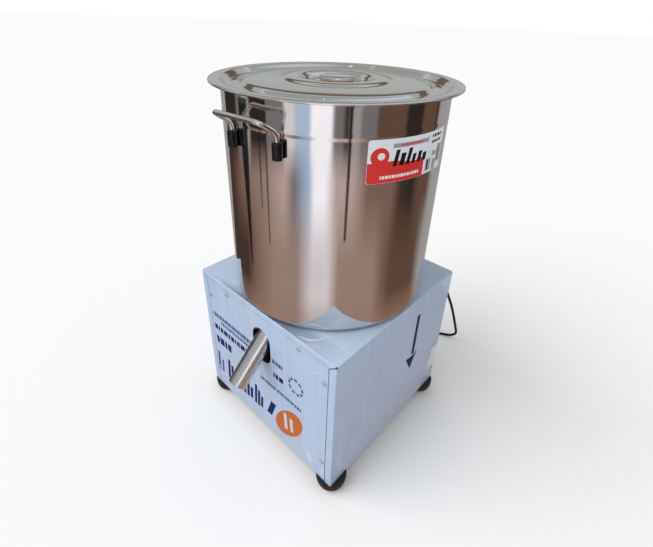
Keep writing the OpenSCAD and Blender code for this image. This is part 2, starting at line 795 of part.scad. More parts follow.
// The rocker turns about the X axis on its pin
module switch_rocker() {
    color("firebrick") translate([switch_x, half_d - 3, switch_z]) difference() {
        union() {
            rotate([90, 0, 90]) translate([0, 0, -10]) linear_extrude(20)
                polygon([[-3, -4.2], [3.6, -7], [6.6, -7], [5.2, 0], [6.6, 7], [3.6, 7], [-3, 4.2]]);
            translate([-12.2, 0, 0]) rotate([0, 90, 0]) cylinder(r = 1.6, h = 24.4);
        }
        block([-12, 5.9, -1], [12, 9, 1]);
    }
}

module cable_gland() {
    color("black") translate([gland_x, half_d, gland_z]) rotate([-90, 0, 0]) difference() {
        union() {
            translate([0, 0, -0.4]) hexagon(21, 5.4);
            translate([0, 0, 5 - eps]) cylinder(r = 9.4, h = 7);
            translate([0, 0, 12 - 2 * eps]) cylinder(r1 = 7, r2 = 4.6, h = 14);
            translate([0, 0, -12]) cylinder(r = 7.8, h = 12);
            translate([0, 0, -6.6]) hexagon(20, 5);
        }
        translate([0, 0, -13]) cylinder(r = cord_d / 2, h = 50);
    }
}

module power_cord() { color("black") sweep(smooth(cord_route, 3), cord_d / 2, 10); }

module cord_coil() {
    d = cord_d;
    color("black") translate([coil_at[0], coil_at[1], 0]) rotate_extrude()
        translate([coil_r - d, 0]) square([2 * d, 2 * d]);
}

module plug_body() {
    color("black") translate([plug_at[0], plug_at[1], 0]) {
        translate([0, 0, 10]) rotate([-90, 0, 0]) cylinder(r1 = 4.5, r2 = 8.5, h = 24 + eps);
        block([-15, 24, 0.5], [15, 62, 20.5]);
    }
}

module plug_pins() {
    color("silver") translate([plug_at[0], plug_at[1] + 62, 10.5])
        for (x = [-6.5, 6.5]) block([x - 3.1, 0, -0.75], [x + 3.1, 17, 0.75]);
}

at_axis() cabinet_wrapper();
at_axis() front_panel();
at_axis() back_panel();
at_axis() bottom_plate();
at_axis() front_panel_screws();
at_axis() back_panel_screws();
at_axis() foot_front_left();
at_axis() foot_front_right();
at_axis() foot_back_left();
at_axis() foot_back_right();
at_axis() foot_bolts();
at_axis() drum_gasket();
at_axis() drum_floor();
at_axis() drum();
at_axis() outlet_pipe();
at_axis() handle_front();
at_axis() handle_back();
at_axis() sleeve_front_left();
at_axis() sleeve_front_right();
at_axis() sleeve_back_left();
at_axis() sleeve_back_right();
at_axis() lid();
at_axis() lid_knob();
at_axis() lid_knob_spacer();
at_axis() lid_knob_screw();
at_axis() basket();
at_axis() basket_hub();
at_axis() hub_bolts();
at_axis() hub_washer();
at_axis() basket_nut();
at_axis() spindle();
at_axis() shaft_seal();
at_axis() bearing_housing();
at_axis() bearing_upper();
at_axis() bearing_lower();
at_axis() bearing_circlip();
at_axis() housing_bolts();
at_axis() housing_nuts();
at_axis() driven_pulley();
at_axis() pulley_bolt();
at_axis() v_belt();
at_axis() motor_pulley();
at_axis() motor_case();
at_axis() motor_bell();
at_axis() motor_stator();
at_axis() motor_rotor();
at_axis() motor_bracket();
at_axis() motor_isolators();
at_axis() motor_bolts();
at_axis() terminal_box();
at_axis() capacitor();
at_axis() capacitor_clip();
at_axis() red_lead();
at_axis() switch_body();
at_axis() switch_rocker();
at_axis() cable_gland();
at_axis() power_cord();
at_axis() cord_coil();
at_axis() plug_body();
at_axis() plug_pins();
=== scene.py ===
"""Looks for the motorised honey extractor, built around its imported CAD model. Metres, +Z up."""
import json
import math

import bmesh
import bpy
from mathutils import Matrix, Vector


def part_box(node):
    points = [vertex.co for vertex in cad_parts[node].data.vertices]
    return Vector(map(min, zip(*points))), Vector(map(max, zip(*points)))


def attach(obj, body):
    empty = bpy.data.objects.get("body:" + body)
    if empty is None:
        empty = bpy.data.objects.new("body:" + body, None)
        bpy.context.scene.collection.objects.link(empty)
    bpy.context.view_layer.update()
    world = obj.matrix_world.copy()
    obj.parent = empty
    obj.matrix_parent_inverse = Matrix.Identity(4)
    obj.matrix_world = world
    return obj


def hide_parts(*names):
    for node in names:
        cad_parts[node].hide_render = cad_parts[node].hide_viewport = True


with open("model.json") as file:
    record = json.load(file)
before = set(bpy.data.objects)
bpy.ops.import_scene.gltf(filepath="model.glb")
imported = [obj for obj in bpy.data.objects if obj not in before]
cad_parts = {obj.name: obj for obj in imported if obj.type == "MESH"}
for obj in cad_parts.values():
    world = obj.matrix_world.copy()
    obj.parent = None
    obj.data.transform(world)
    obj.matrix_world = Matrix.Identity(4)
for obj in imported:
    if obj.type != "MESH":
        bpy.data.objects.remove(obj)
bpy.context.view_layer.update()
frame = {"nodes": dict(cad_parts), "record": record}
scene = bpy.context.scene
low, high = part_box("drum")

# Sizes in millimetres; heights are from the floor
AXIS_Y = (low.y + high.y) / 2 * 1000
DRUM_R, DRUM_WALL, DRUM_Z, RIM = 200, 1.2, 368, 772
BEAD, BEAD_H, BEAD_RISE = 716, 12.8, 0.4
W, D, TOP, BASE, BEND = 200, 197, 364, 28, 2.2
FLANGE_SIDE, FLANGE_TOP, SHEET, MITRE_GAP = 17, 14, 1.2, 1.4
SLOT_W, SLOT_H, SLOT_Z = 54, 87, 275
PIPE_R, PIPE_BORE, PIPE_REACH, PIPE_END_Z = 19, 17.5, 64, 217
CORD_D, LEAD_R = 7.0, 2.3


def at(x, y, z):
    """A point given in millimetres from the foot of the drum's axis."""
    return Vector((x, y + AXIS_Y, z)) / 1000


# ---------------------------------------------------------------- camera

def make_camera():
    yaw, pitch, roll = (math.radians(a) for a in (131.689, -28.409, 2.157))
    ahead = Vector((math.cos(pitch) * math.cos(yaw), math.cos(pitch) * math.sin(yaw), math.sin(pitch)))
    level = ahead.cross(Vector((0, 0, 1))).normalized()
    upright = level.cross(ahead)
    right = math.cos(roll) * level + math.sin(roll) * upright
    up = math.cos(roll) * upright - math.sin(roll) * level
    data = bpy.data.cameras.new("camera")
    data.lens, data.sensor_width = 22.397, 36
    data.shift_x, data.shift_y = -0.00473, -0.07282
    data.clip_start, data.clip_end = 0.01, 50
    cam = bpy.data.objects.new("camera", data)
    scene.collection.objects.link(cam)
    cam.matrix_world = Matrix.Translation(at(497.74, -562.75, 882.22)) @ Matrix(
        (right, up, -ahead)).transposed().to_4x4()
    scene.camera = cam


make_camera()


# ---------------------------------------------------------------- mesh helpers

def add(name, verts, faces, body, material, smooth=30, slot=None, replaces=()):
    mesh = bpy.data.meshes.new(name)
    mesh.from_pydata([tuple(v) for v in verts], [], faces)
    mesh.materials.append(material)
    obj = bpy.data.objects.new(name, mesh)
    scene.collection.objects.link(obj)
    finish_mesh(obj, smooth)
    return settle(obj, body, slot, replaces)


def finish_mesh(obj, smooth=30):
    bm = bmesh.new()
    bm.from_mesh(obj.data)
    bmesh.ops.remove_doubles(bm, verts=bm.verts, dist=1e-7)
    bmesh.ops.recalc_face_normals(bm, faces=bm.faces)
    bm.to_mesh(obj.data)
    bm.free()
    obj.data.polygons.foreach_set("use_smooth", [True] * len(obj.data.polygons))
    obj.data.set_sharp_from_angle(angle=math.radians(smooth))


def settle(obj, body, slot=None, replaces=()):
    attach(obj, body)
    if replaces:
        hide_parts(*replaces)
    return obj


def lathe(profile, place=None, steps=128):
    """A closed profile of (radius, height) in millimetres, turned round an axis; place maps a local point."""
    place = place or (lambda x, y, z: at(x, y, z))
    verts, faces, rows = [], [], []
    for r, z in profile:
        if r < 1e-6:
            rows.append([len(verts)] * steps)
            verts.append(place(0, 0, z))
        else:
            rows.append(list(range(len(verts), len(verts) + steps)))
            verts += [place(r * math.cos(2 * math.pi * k / steps), r * math.sin(2 * math.pi * k / steps), z)
                      for k in range(steps)]
    n = len(profile)
    for i in range(n):
        a, b = rows[i], rows[(i + 1) % n]
        for k in range(steps):
            m = (k + 1) % steps
            ring = [a[k], a[m], b[m], b[k]]
            ring = [v for j, v in enumerate(ring) if v != ring[j - 1]]
            if len(ring) > 2:
                faces.append(ring)
    return verts, faces


def arc(cx, cz, r, a0, a1, n):
    return [(cx + r * math.cos(math.radians(a0 + (a1 - a0) * i / n)),
             cz + r * math.sin(math.radians(a0 + (a1 - a0) * i / n))) for i in range(n + 1)]


def round_steps(n):
    """The angles of n equal steps round a circle."""
    return [2 * math.pi * k / n for k in range(n)]


def quarter(n, first=0):
    """The angles of n equal steps over a quarter turn, with both ends, from step first on."""
    return [math.pi / 2 * k / n for k in range(first, n + 1)]


def spline(points, n):
    """A Catmull-Rom curve through the points, n steps from each to the next."""
    out = []
    for i in range(len(points) - 1):
        p0, p1, p2, p3 = (Vector(points[min(max(j, 0), len(points) - 1)]) for j in (i - 1, i, i + 1, i + 2))
        for k in range(n):
            t = k / n
            out.append(0.5 * (2 * p1 + (p2 - p0) * t + (2 * p0 - 5 * p1 + 4 * p2 - p3) * t * t
                              + (3 * p1 - p0 - 3 * p2 + p3) * t ** 3))
    return out + [Vector(points[-1])]


def sweep(path, radius, sides=24, cap=True):
    """A bar along a path in metres; radius is a number or one per point, in metres."""
    radii = radius if hasattr(radius, "__len__") else [radius] * len(path)
    normal = None
    verts, faces = [], []
    for i, p in enumerate(path):
        t = (path[min(i + 1, len(path) - 1)] - path[max(i - 1, 0)]).normalized()
        if normal is None:
            normal = t.cross(Vector((0.31, 0.2, 0.93))).normalized()
        normal = (normal - t * normal.dot(t)).normalized()
        other = t.cross(normal)
        verts += [p + radii[i] * (math.cos(2 * math.pi * k / sides) * normal
                                  + math.sin(2 * math.pi * k / sides) * other) for k in range(sides)]
    for i in range(len(path) - 1):
        for k in range(sides):
            m = (k + 1) % sides
            faces.append([i * sides + k, i * sides + m, (i + 1) * sides + m, (i + 1) * sides + k])
    if cap:
        faces += [list(range(sides))[::-1], list(range((len(path) - 1) * sides, len(path) * sides))]
    return verts, faces


# ---------------------------------------------------------------- materials

def srgb(r, g, b):
    """A colour given as on a screen, in the linear values that Blender works in."""
    linear = [c / 255 / 12.92 if c <= 10 else ((c / 255 + 0.055) / 1.055) ** 2.4 for c in (r, g, b)]
    return tuple(linear) + (1,)


class Mat:
    """A material made of nodes, with a few short ways to add them."""

    def __init__(self, name, **values):
        self.m = bpy.data.materials.new(name)
        self.m.use_nodes = True
        self.t = self.m.node_tree
        self.t.nodes.clear()
        self.out = self.t.nodes.new("ShaderNodeOutputMaterial")
        self.b = self.t.nodes.new("ShaderNodeBsdfPrincipled")
        self.t.links.new(self.b.outputs[0], self.out.inputs[0])
        self.set(**values)

    def set(self, **values):
        for k, v in values.items():
            self.plug(v, self.b.inputs[k.replace("_", " ")])

    def plug(self, v, socket):
        if isinstance(v, bpy.types.NodeSocket):
            self.t.links.new(v, socket)
        elif v is not None:
            socket.default_value = v

    def node(self, kind, *inputs, out=0, **settings):
        n = self.t.nodes.new("ShaderNode" + kind)
        for k, v in settings.items():
            setattr(n, k, v)
        for i, v in enumerate(inputs):
            self.plug(v, n.inputs[i])
        return n.outputs[out]

    def math(self, op, a, b=None, c=None):
        return self.node("Math", a, b, c, operation=op)

    def length(self, a, b):
        return self.math("SQRT", self.math("ADD", self.math("MULTIPLY", a, a), self.math("MULTIPLY", b, b)))

    def coords(self):
        return self.node("TexCoord", out=3)

    def stretch(self, x, y, z, vector=None):
        return self.node("Mapping", vector or self.coords(), None, None, (x, y, z))

    def turned(self, along, up):
        """Coordinates that run round the drum's axis and up it, so that a pattern wraps the wall."""
        p = self.node("SeparateXYZ", self.coords())
        n = p.node.outputs
        angle = self.math("ARCTAN2", self.math("SUBTRACT", n[1], AXIS_Y / 1000), n[0])
        height = self.math("MULTIPLY", n[2], up)
        return self.node("CombineXYZ", self.math("MULTIPLY", angle, along), 0.0, height)

    def rings(self, across, round_=0.0):
        """Coordinates that run out from the drum's axis, for marks left by turning."""
        n = self.node("SeparateXYZ", self.coords()).node.outputs
        y = self.math("SUBTRACT", n[1], AXIS_Y / 1000)
        r = self.length(n[0], y)
        a = self.math("MULTIPLY", self.math("ARCTAN2", y, n[0]), round_)
        height = self.math("MULTIPLY", n[2], across)
        return self.node("CombineXYZ", self.math("MULTIPLY", r, across), a, height)

    def noise(self, vector, scale, detail=3.0, rough=0.55):
        n = self.node("TexNoise", vector)
        n.node.inputs["Scale"].default_value = scale
        n.node.inputs["Detail"].default_value = detail
        n.node.inputs["Roughness"].default_value = rough
        return n

    def range(self, v, a, b, c, d):
        return self.node("MapRange", v, a, b, c, d)

    def mix(self, f, a, b, blend="MIX"):
        n = self.t.nodes.new("ShaderNodeMix")
        n.data_type, n.blend_type = "RGBA", blend
        self.plug(f, n.inputs[0])
        self.plug(a, n.inputs[6])
        self.plug(b, n.inputs[7])
        return n.outputs[2]

    def ramp(self, f, stops):
        n = self.t.nodes.new("ShaderNodeValToRGB")
        e = n.color_ramp.elements
        e[0].position, e[0].color = stops[0]
        e[1].position, e[1].color = stops[-1]
        for p, c in stops[1:-1]:
            e.new(p).color = c
        self.plug(f, n.inputs[0])
        return n.outputs[0]

    def bump(self, height, distance, strength=1.0, normal=None):
        n = self.t.nodes.new("ShaderNodeBump")
        n.inputs["Strength"].default_value = strength
        n.inputs["Distance"].default_value = distance
        self.plug(height, n.inputs["Height"])
        self.plug(normal, n.inputs["Normal"])
        return n.outputs[0]


def grained(name, colour, rough, vector, scale, metal=1.0, vary=0.06, depth=0.00002, spread=0.08, **more):
    """A surface whose colour, gloss and relief all follow one grain, over larger soft blotches."""
    m = Mat(name, Metallic=metal, **more)
    v = vector(m)
    fine = m.noise(v, scale, 4.0)
    blotch = m.noise(m.coords(), 9.0, 2.0)
    dark = tuple(c * (1 - vary * 2) for c in colour[:3]) + (1,)
    light = tuple(min(1, c * (1 + vary)) for c in colour[:3]) + (1,)
    both = m.math("ADD", m.math("MULTIPLY", fine, 0.65), m.math("MULTIPLY", blotch, 0.35))
    m.set(Base_Color=m.ramp(both, [(0.3, dark), (0.55, colour), (0.75, light)]),
          Roughness=m.range(both, 0.3, 0.75, rough + spread / 2, max(0.02, rough - spread / 2)),
          Normal=m.bump(fine, depth))
    return m.m


def plain(m):
    return m.coords()


STEEL = srgb(226, 224, 222)
drum_steel = grained("drum_steel", STEEL, 0.05, lambda m: m.turned(70, 0.9), 6.0, vary=0.05,
                     depth=0.000008, spread=0.05)
lid_steel = grained("lid_steel", STEEL, 0.07, lambda m: m.rings(900, 3), 1.0, vary=0.04, depth=0.000005,
                    spread=0.05)
knob_steel = grained("knob_steel", STEEL, 0.06, lambda m: m.rings(1500, 3), 1.0, vary=0.05, depth=0.000003)
bar_steel = grained("bar_steel", srgb(222, 220, 219), 0.07, plain, 300.0, depth=0.000005, spread=0.04)
pipe_steel = grained("pipe_steel", srgb(228, 228, 230), 0.22, lambda m: m.stretch(1, 0.06, 0.06), 600.0,
                     vary=0.07, depth=0.00002)


def make_film(name, colour, rough, ripple=0.00022):
    """Protective film over painted sheet: long soft drawn streaks, low ripples, small creases and specks, and
    painted light that lightens the faces that look up.
    """
    m = Mat(name, Coat_Weight=0.5, Coat_Roughness=0.1)
    fine = m.noise(m.stretch(1, 1, 0.05), 70.0, 4.0)
    wave = m.noise(m.stretch(1.6, 1.6, 0.5), 11.0, 2.0)
    speck = m.noise(m.coords(), 230.0, 2.0)
    crease = m.math("ABSOLUTE", m.math("SUBTRACT", m.noise(m.stretch(1, 1, 0.4), 16.0, 1.0), 0.5))
    line = m.range(crease, 0.0, 0.012, 1.0, 0.0)
    rare = m.math("MULTIPLY", line, m.range(m.noise(m.coords(), 7.0, 1.0), 0.55, 0.66, 0.0, 1.0))
    tone = m.math("ADD", m.math("MULTIPLY", fine, 0.55), m.math("MULTIPLY", wave, 0.45))
    dark = tuple(c * 0.93 for c in colour[:3]) + (1,)
    light = tuple(min(1, c * 1.06) for c in colour[:3]) + (1,)
    base = m.ramp(tone, [(0.34, dark), (0.52, colour), (0.68, light)])
    base = m.mix(m.range(speck, 0.72, 0.78, 0.0, 0.35), base, srgb(120, 136, 160))
    base = m.mix(m.math("MULTIPLY", rare, 0.5), base, srgb(214, 226, 240))
    # painted light: faces that look up, the cabinet's top, are lightened toward pale blue-white, standing in
    # for the light that falls on the top
    up = m.node("SeparateXYZ", m.node("NewGeometry", out=1), out=2)
    base = m.mix(m.range(up, 0.5, 0.9, 0.0, 0.22), base, srgb(232, 240, 250))
    height = m.math("ADD", m.math("MULTIPLY", wave, ripple * 1000), m.math("MULTIPLY", fine, 0.03))
    m.set(Base_Color=base, Roughness=m.range(tone, 0.3, 0.7, rough + 0.07, rough - 0.05),
          Normal=m.bump(m.math("ADD", height, m.math("MULTIPLY", rare, 0.06)), 0.001))
    return m.m


film = make_film("film", srgb(170, 191, 217), 0.34)
plate_steel = grained("plate_steel", srgb(178, 180, 182), 0.34, lambda m: m.stretch(1, 0.04, 1), 300.0,
                      depth=0.00001)
screw_steel = grained("screw_steel", srgb(214, 212, 208), 0.26, plain, 500.0, metal=0.6, depth=0.00002)
shaft_steel = grained("shaft_steel", srgb(190, 190, 190), 0.18, lambda m: m.stretch(0.1, 0.1, 1), 900.0)
basket_steel = grained("basket_steel", srgb(205, 204, 202), 0.2, lambda m: m.turned(50, 1.5), 8.0,
                       depth=0.00001)
cast_iron = grained("cast_iron", srgb(92, 96, 100), 0.55, plain, 420.0, metal=0.6, vary=0.15, depth=0.0002)
motor_paint = grained("motor_paint", srgb(58, 84, 118), 0.4, plain, 260.0, metal=0.0, vary=0.06,
                      depth=0.00008, Coat_Weight=0.3)
copper = grained("copper", srgb(176, 96, 52), 0.35, lambda m: m.stretch(1, 1, 14), 60.0, vary=0.18,
                 depth=0.0003)
rubber = grained("rubber", srgb(36, 36, 38), 0.42, plain, 520.0, metal=0.0, vary=0.15, depth=0.00006,
                 Specular_IOR_Level=0.3)
# the ring under the drum is real, but its light blue-grey is set to match the shaded line where the drum
# meets the top, so it is partly painted shade
gasket_rubber = grained("gasket_rubber", srgb(150, 166, 188), 0.6, plain, 400.0, metal=0.0, vary=0.12,
                        depth=0.0001)
belt_rubber = grained("belt_rubber", srgb(30, 30, 31), 0.65, lambda m: m.stretch(1, 1, 4), 300.0, metal=0.0,
                      vary=0.25, depth=0.0002)
sleeve_plastic = grained("sleeve_plastic", srgb(16, 17, 21), 0.24, plain, 160.0, metal=0.0, vary=0.08,
                         depth=0.000006, Specular_IOR_Level=0.3)
black_plastic = grained("black_plastic", srgb(34, 34, 36), 0.42, plain, 700.0, metal=0.0, vary=0.1,
                        depth=0.00008)
red_plastic = grained("red_plastic", srgb(190, 26, 24), 0.28, plain, 500.0, metal=0.0, vary=0.06,
                      depth=0.00003)
amber_plastic = grained("amber_plastic", srgb(226, 142, 34), 0.2, plain, 260.0, metal=0.0, vary=0.1,
                        depth=0.00003, Subsurface_Weight=0.2)
cord_rubber = grained("cord_rubber", srgb(14, 14, 15), 0.4, plain, 600.0, metal=0.0, vary=0.15, depth=0.00006,
                      Specular_IOR_Level=0.25)
capacitor_can = grained("capacitor_can", srgb(196, 198, 200), 0.3, plain, 300.0, metal=0.0, depth=0.00002)
brass = grained("brass", srgb(214, 182, 112), 0.24, plain, 400.0, depth=0.00001)

SLOTS = {
    "film_steel": film, "plate_steel": plate_steel, "screw_steel": screw_steel, "drum_steel": drum_steel,
    "pipe_steel": pipe_steel, "lid_steel": lid_steel, "knob_steel": knob_steel, "handle_steel": bar_steel,
    "foot_rubber": rubber, "gasket_rubber": gasket_rubber, "sleeve_plastic": sleeve_plastic,
    "amber_plastic": amber_plastic, "basket_steel": basket_steel, "shaft_steel": shaft_steel,
    "cast_grey": cast_iron, "belt_rubber": belt_rubber, "motor_paint": motor_paint,
    "winding_copper": copper, "black_plastic": black_plastic, "capacitor_white": capacitor_can,
    "red_lead": red_plastic, "rocker_red": red_plastic, "cord_black": cord_rubber, "pin_brass": brass}
slots = {p["node"]: p["material_slot"] for p in frame["record"]["subparts"]}
for name, obj in frame["nodes"].items():
    obj.data.materials.clear()
    obj.data.materials.append(SLOTS[slots[name]])


# ---------------------------------------------------------------- cord

ROUTE = [(146, 205, 300), (146, 223, 300), (146, 240, 299), (148, 262, 285), (153, 284, 252),
         (158, 306, 212), (163, 330, 168), (167, 352, 122), (170, 371, 80), (171.2, 380.5, 59),
         (172.2, 389.7, 38.2), (170.1, 394.2, 25.7), (162.9, 396.1, 14.5), (152.1, 395.1, 6.7),
         (138.9, 391.1, 3.9), (124.6, 382, 3.7), (114.6, 368.2, 3.7), (98, 328, 3.7), (84, 296, 3.7),
         (67, 270, 3.7), (45, 257, 3.7)]
COIL = (20, 301)


def ease(t):
    t = min(max(t, 0.0), 1.0)
    return t * t * (3 - 2 * t)


def make_cord():
    coil = []
    for k in range(0, 66):
        t = k / 16
        r = 48.5 - 7 * ease(t / 0.45) - 7 * ease((t - 0.95) / 0.35) + 7 * ease((t - 2.95) / 0.35)
        z = 3.7 + 7.0 * ease((t - 1.9) / 0.5)
        a = math.radians(-90 - 360 * t)
        coil.append((COIL[0] + r * math.cos(a), COIL[1] + r * math.sin(a), z))
    tail = [(-10, 268.6, 10.6), (-23.1, 277.4, 10.3), (-31.9, 290.5, 10), (-35, 304, 10), (-35, 309, 10)]
    points = ROUTE + coil + tail
    curve = bpy.data.curves.new("mains_lead", "CURVE")
    curve.dimensions = "3D"
    line = curve.splines.new("BEZIER")
    line.bezier_points.add(len(points) - 1)
    for b, p in zip(line.bezier_points, points):
        b.co = at(*p)
        b.handle_left_type = b.handle_right_type = "AUTO"
    curve.resolution_u = 6
    curve.bevel_depth, curve.bevel_resolution = CORD_D / 2000, 5
    curve.use_fill_caps = True
    curve.materials.append(cord_rubber)
    lead = bpy.data.objects.new("mains_lead", curve)
    scene.collection.objects.link(lead)
    settle(lead, "frame", slots["power_cord"], ["power_cord", "cord_coil"])
    bpy.context.view_layer.update()
    # the tie round the coil
    ring = [Vector((COIL[0] + 38 + 9.2 * math.cos(a), COIL[1], 7.2 + 8.4 * math.sin(a)))
            for a in round_steps(32)]
    verts, faces = [], []
    for k, p in enumerate(ring):
        inward = (Vector((COIL[0] + 38, COIL[1], 7.2)) - p).normalized()
        for dy, d in ((-4, 0), (4, 0), (4, 1.1), (-4, 1.1)):
            q = p + inward * d
            verts.append(at(q.x, q.y + dy, max(q.z, 0.3)))
        for j in range(4):
            m = ((k + 1) % 32) * 4
            faces.append([k * 4 + j, k * 4 + (j + 1) % 4, m + (j + 1) % 4, m + j])
    tie = add("cord_tie", verts, faces, "frame", black_plastic, 40, slots["plug_body"])
    return lead, tie


lead, tie = make_cord()


# ---------------------------------------------------------------- drum, lid, handles

def make_drum():
    """The rolled wall with its swaged bead and its rim rolled over a wire."""
    inner = DRUM_R - DRUM_WALL
    outer = [(DRUM_R, z) for z in (375, 460, 560, 660, BEAD - 4.2)]
    outer += [(DRUM_R + BEAD_RISE * math.sin(math.pi * t / 16) ** 2, BEAD + t * BEAD_H / 16)
              for t in range(17)]
    outer += [(DRUM_R, BEAD + 16), (DRUM_R, RIM - 12), (DRUM_R, RIM - 7.4)]
    roll = arc(DRUM_R + 2.3, RIM - 3, 3, 205, 520, 20)
    inside = [(inner, z) for z in (RIM - 2, RIM - 8, 600, 375)]
    v, f = lathe(outer + roll[:-1] + inside, steps=288)
    return add("drum_shell", v, f, "frame", drum_steel, 42, "drum_steel", ["drum"])


# The lid's section from its middle out, as radius and height over the rim: the knob's well, the raised
# ring, the plateau, the groove, the brim and its rolled edge
LID_THICK = 1
LID = [(0, -8), (26, -8), (48, -7.9), (53, -7.5), (56, -6.2), (58.3, -3.4), (60, -0.9), (62, 0.9),
       (65, 1.9), (70, 2.4), (76, 2.6), (82, 2.4), (87, 2), (91, 1.2), (94.5, -0.1), (97, -0.9),
       (101, -1.2), (118, -1.5), (135, -1.8), (148, -2.5), (156, -3.2), (160, -4.1), (162.5, -5.5),
       (164.5, -7.4), (166.5, -9), (169, -9.7), (173, -10), (183, -10), (187.5, -9.8), (190.2, -9.1),
       (192, -7.9), (194.6, -5.2), (197, -2.7), (198.8, -1.1), (200.4, -0.3), (202.5, 0), (210, 0.1),
       (216.4, 0.1), (218.1, -0.2), (218.9, -1), (219, -2)]


def offset(line, t):
    """The line moved by t across itself, for the other side of a sheet."""
    out = []
    for i, (r, z) in enumerate(line):
        (r0, z0), (r1, z1) = line[max(i - 1, 0)], line[min(i + 1, len(line) - 1)]
        n = math.hypot(r1 - r0, z1 - z0)
        out.append((r + t * (z1 - z0) / n if i else 0, z - t * (r1 - r0) / n))
    return out


def make_lid():
    """The pressed lid with its hemmed edge, and the disc knob on its amber spacer."""
    top = [(r, z + RIM + LID_THICK) for r, z in LID]
    under = [(min(r, 218), z + RIM + LID_THICK) for r, z in offset(LID, LID_THICK)]
    under = [(r if i else 0, z) for i, (r, z) in enumerate(under)]
    hem = arc(218.2, RIM - 1.6, 0.8, 0, -180, 8)
    under = [p for p in under if p[0] < 217 and p[1] < RIM + 0.3] + [(217.2, RIM - 0.2)]
    v, f = lathe(top + hem + under[::-1], steps=256)
    add("lid_shell", v, f, "lid", lid_steel, 50, "lid_steel", ["lid"])
    z = top[0][1]
    spacer_h = 5.2
    spacer = [(0, 0), (28.2, 0), (28.8, 0.5), (29, 1.4), (29, 4.2), (28.6, spacer_h), (0, spacer_h)]
    v, f = lathe([(r, z + h) for r, h in spacer], steps=96)
    add("knob_spacer", v, f, "lid", amber_plastic, 40, "amber_plastic", ["lid_knob_spacer"])
    disc = [(0, 0), (30, 0), (30.9, 0.3), (31.4, 0.9), (31.5, 1.7), (31.5, 3.5), (31.3, 4.2), (30.7, 4.9),
            (29.6, 5.4), (27, 5.9), (21, 6.4), (15, 6.65), (8, 6.77), (0, 6.8)]
    v, f = lathe([(r, z + spacer_h + h) for r, h in disc], steps=128)
    add("knob_disc", v, f, "lid", knob_steel, 60, "knob_steel", ["lid_knob"])


TURN = math.radians(5.4)
BAR_R, SLEEVE_R, HANDLE_HALF, BAR_V = 4, 7.8, 47.5, 236


def handle_place(side):
    a = TURN + (math.pi if side > 0 else 0)
    return lambda x, y, z: at(x * math.cos(a) - y * math.sin(a), x * math.sin(a) + y * math.cos(a), z)


LEG_V = math.sqrt((DRUM_R + SLEEVE_R + 0.1) ** 2 - HANDLE_HALF ** 2)


def make_handle(side, name):
    """A bent bar with its two legs in black sleeves; side is -1 in front and 1 behind."""
    place = handle_place(side)
    s, v = HANDLE_HALF, LEG_V
    foot, shoulder, height = RIM - 86, RIM - 49, RIM - 28
    corners = [(-s, -v, foot), (-s, -v, shoulder), (-s, -BAR_V, height), (s, -BAR_V, height),
               (s, -v, shoulder), (s, -v, foot)]
    cut = [0, 12.5, 14, 14, 12.5, 0]
    path = []
    for i, p in enumerate(corners):
        p = Vector(p)
        if not cut[i]:
            path.append(p)
            continue
        a = p + (Vector(corners[i - 1]) - p).normalized() * cut[i]
        b = p + (Vector(corners[i + 1]) - p).normalized() * cut[i]
        path += [a * (1 - t) ** 2 + p * 2 * t * (1 - t) + b * t * t for t in (k / 12 for k in range(13))]
    verts, faces = sweep([place(*p) for p in path], BAR_R / 1000, 28)
    add("bar_" + name, verts, faces, "frame", bar_steel, 50, "handle_steel", ["handle_" + name])
    for sx in (-1, 1):
        side_name = {(-1, -1): "left", (-1, 1): "right", (1, -1): "right", (1, 1): "left"}[(side, sx)]
        rings = [(4.1, 1), (6, 0.1), (6.9, 0), (7.5, 0.35), (SLEEVE_R, 1.2), (SLEEVE_R, 13), (SLEEVE_R, 24.6),
                 (7.55, 25.5), (7, 25.95), (6.2, 26), (5.2, 25.7), (4.6, 25), (4.1, 24.6)]
        v2, f2 = lathe(rings, lambda x, y, z: place(sx * s + x, -v + y, foot - 2 + z), 48)
        add(f"sleeve_{name}_{side_name}_moulded", v2, f2, "frame", sleeve_plastic, 35, "sleeve_plastic",
            [f"sleeve_{name}_{side_name}"])


make_drum()
make_lid()
make_handle(-1, "front")
make_handle(1, "back")


# ---------------------------------------------------------------- cabinet

def grid_faces(rows):
    return [(a[i], a[i + 1], b[i + 1], b[i]) for a, b in zip(rows, rows[1:]) for i in range(len(a) - 1)]


class Sheet:
    """Faces gathered for one folded sheet; points that meet are merged at the end."""

    def __init__(self):
        self.v, self.f = [], []

    def strip(self, rows):
        index = []
        for row in rows:
            index.append(list(range(len(self.v), len(self.v) + len(row))))
            self.v += [at(*p) for p in row]
        self.f += grid_faces(index)


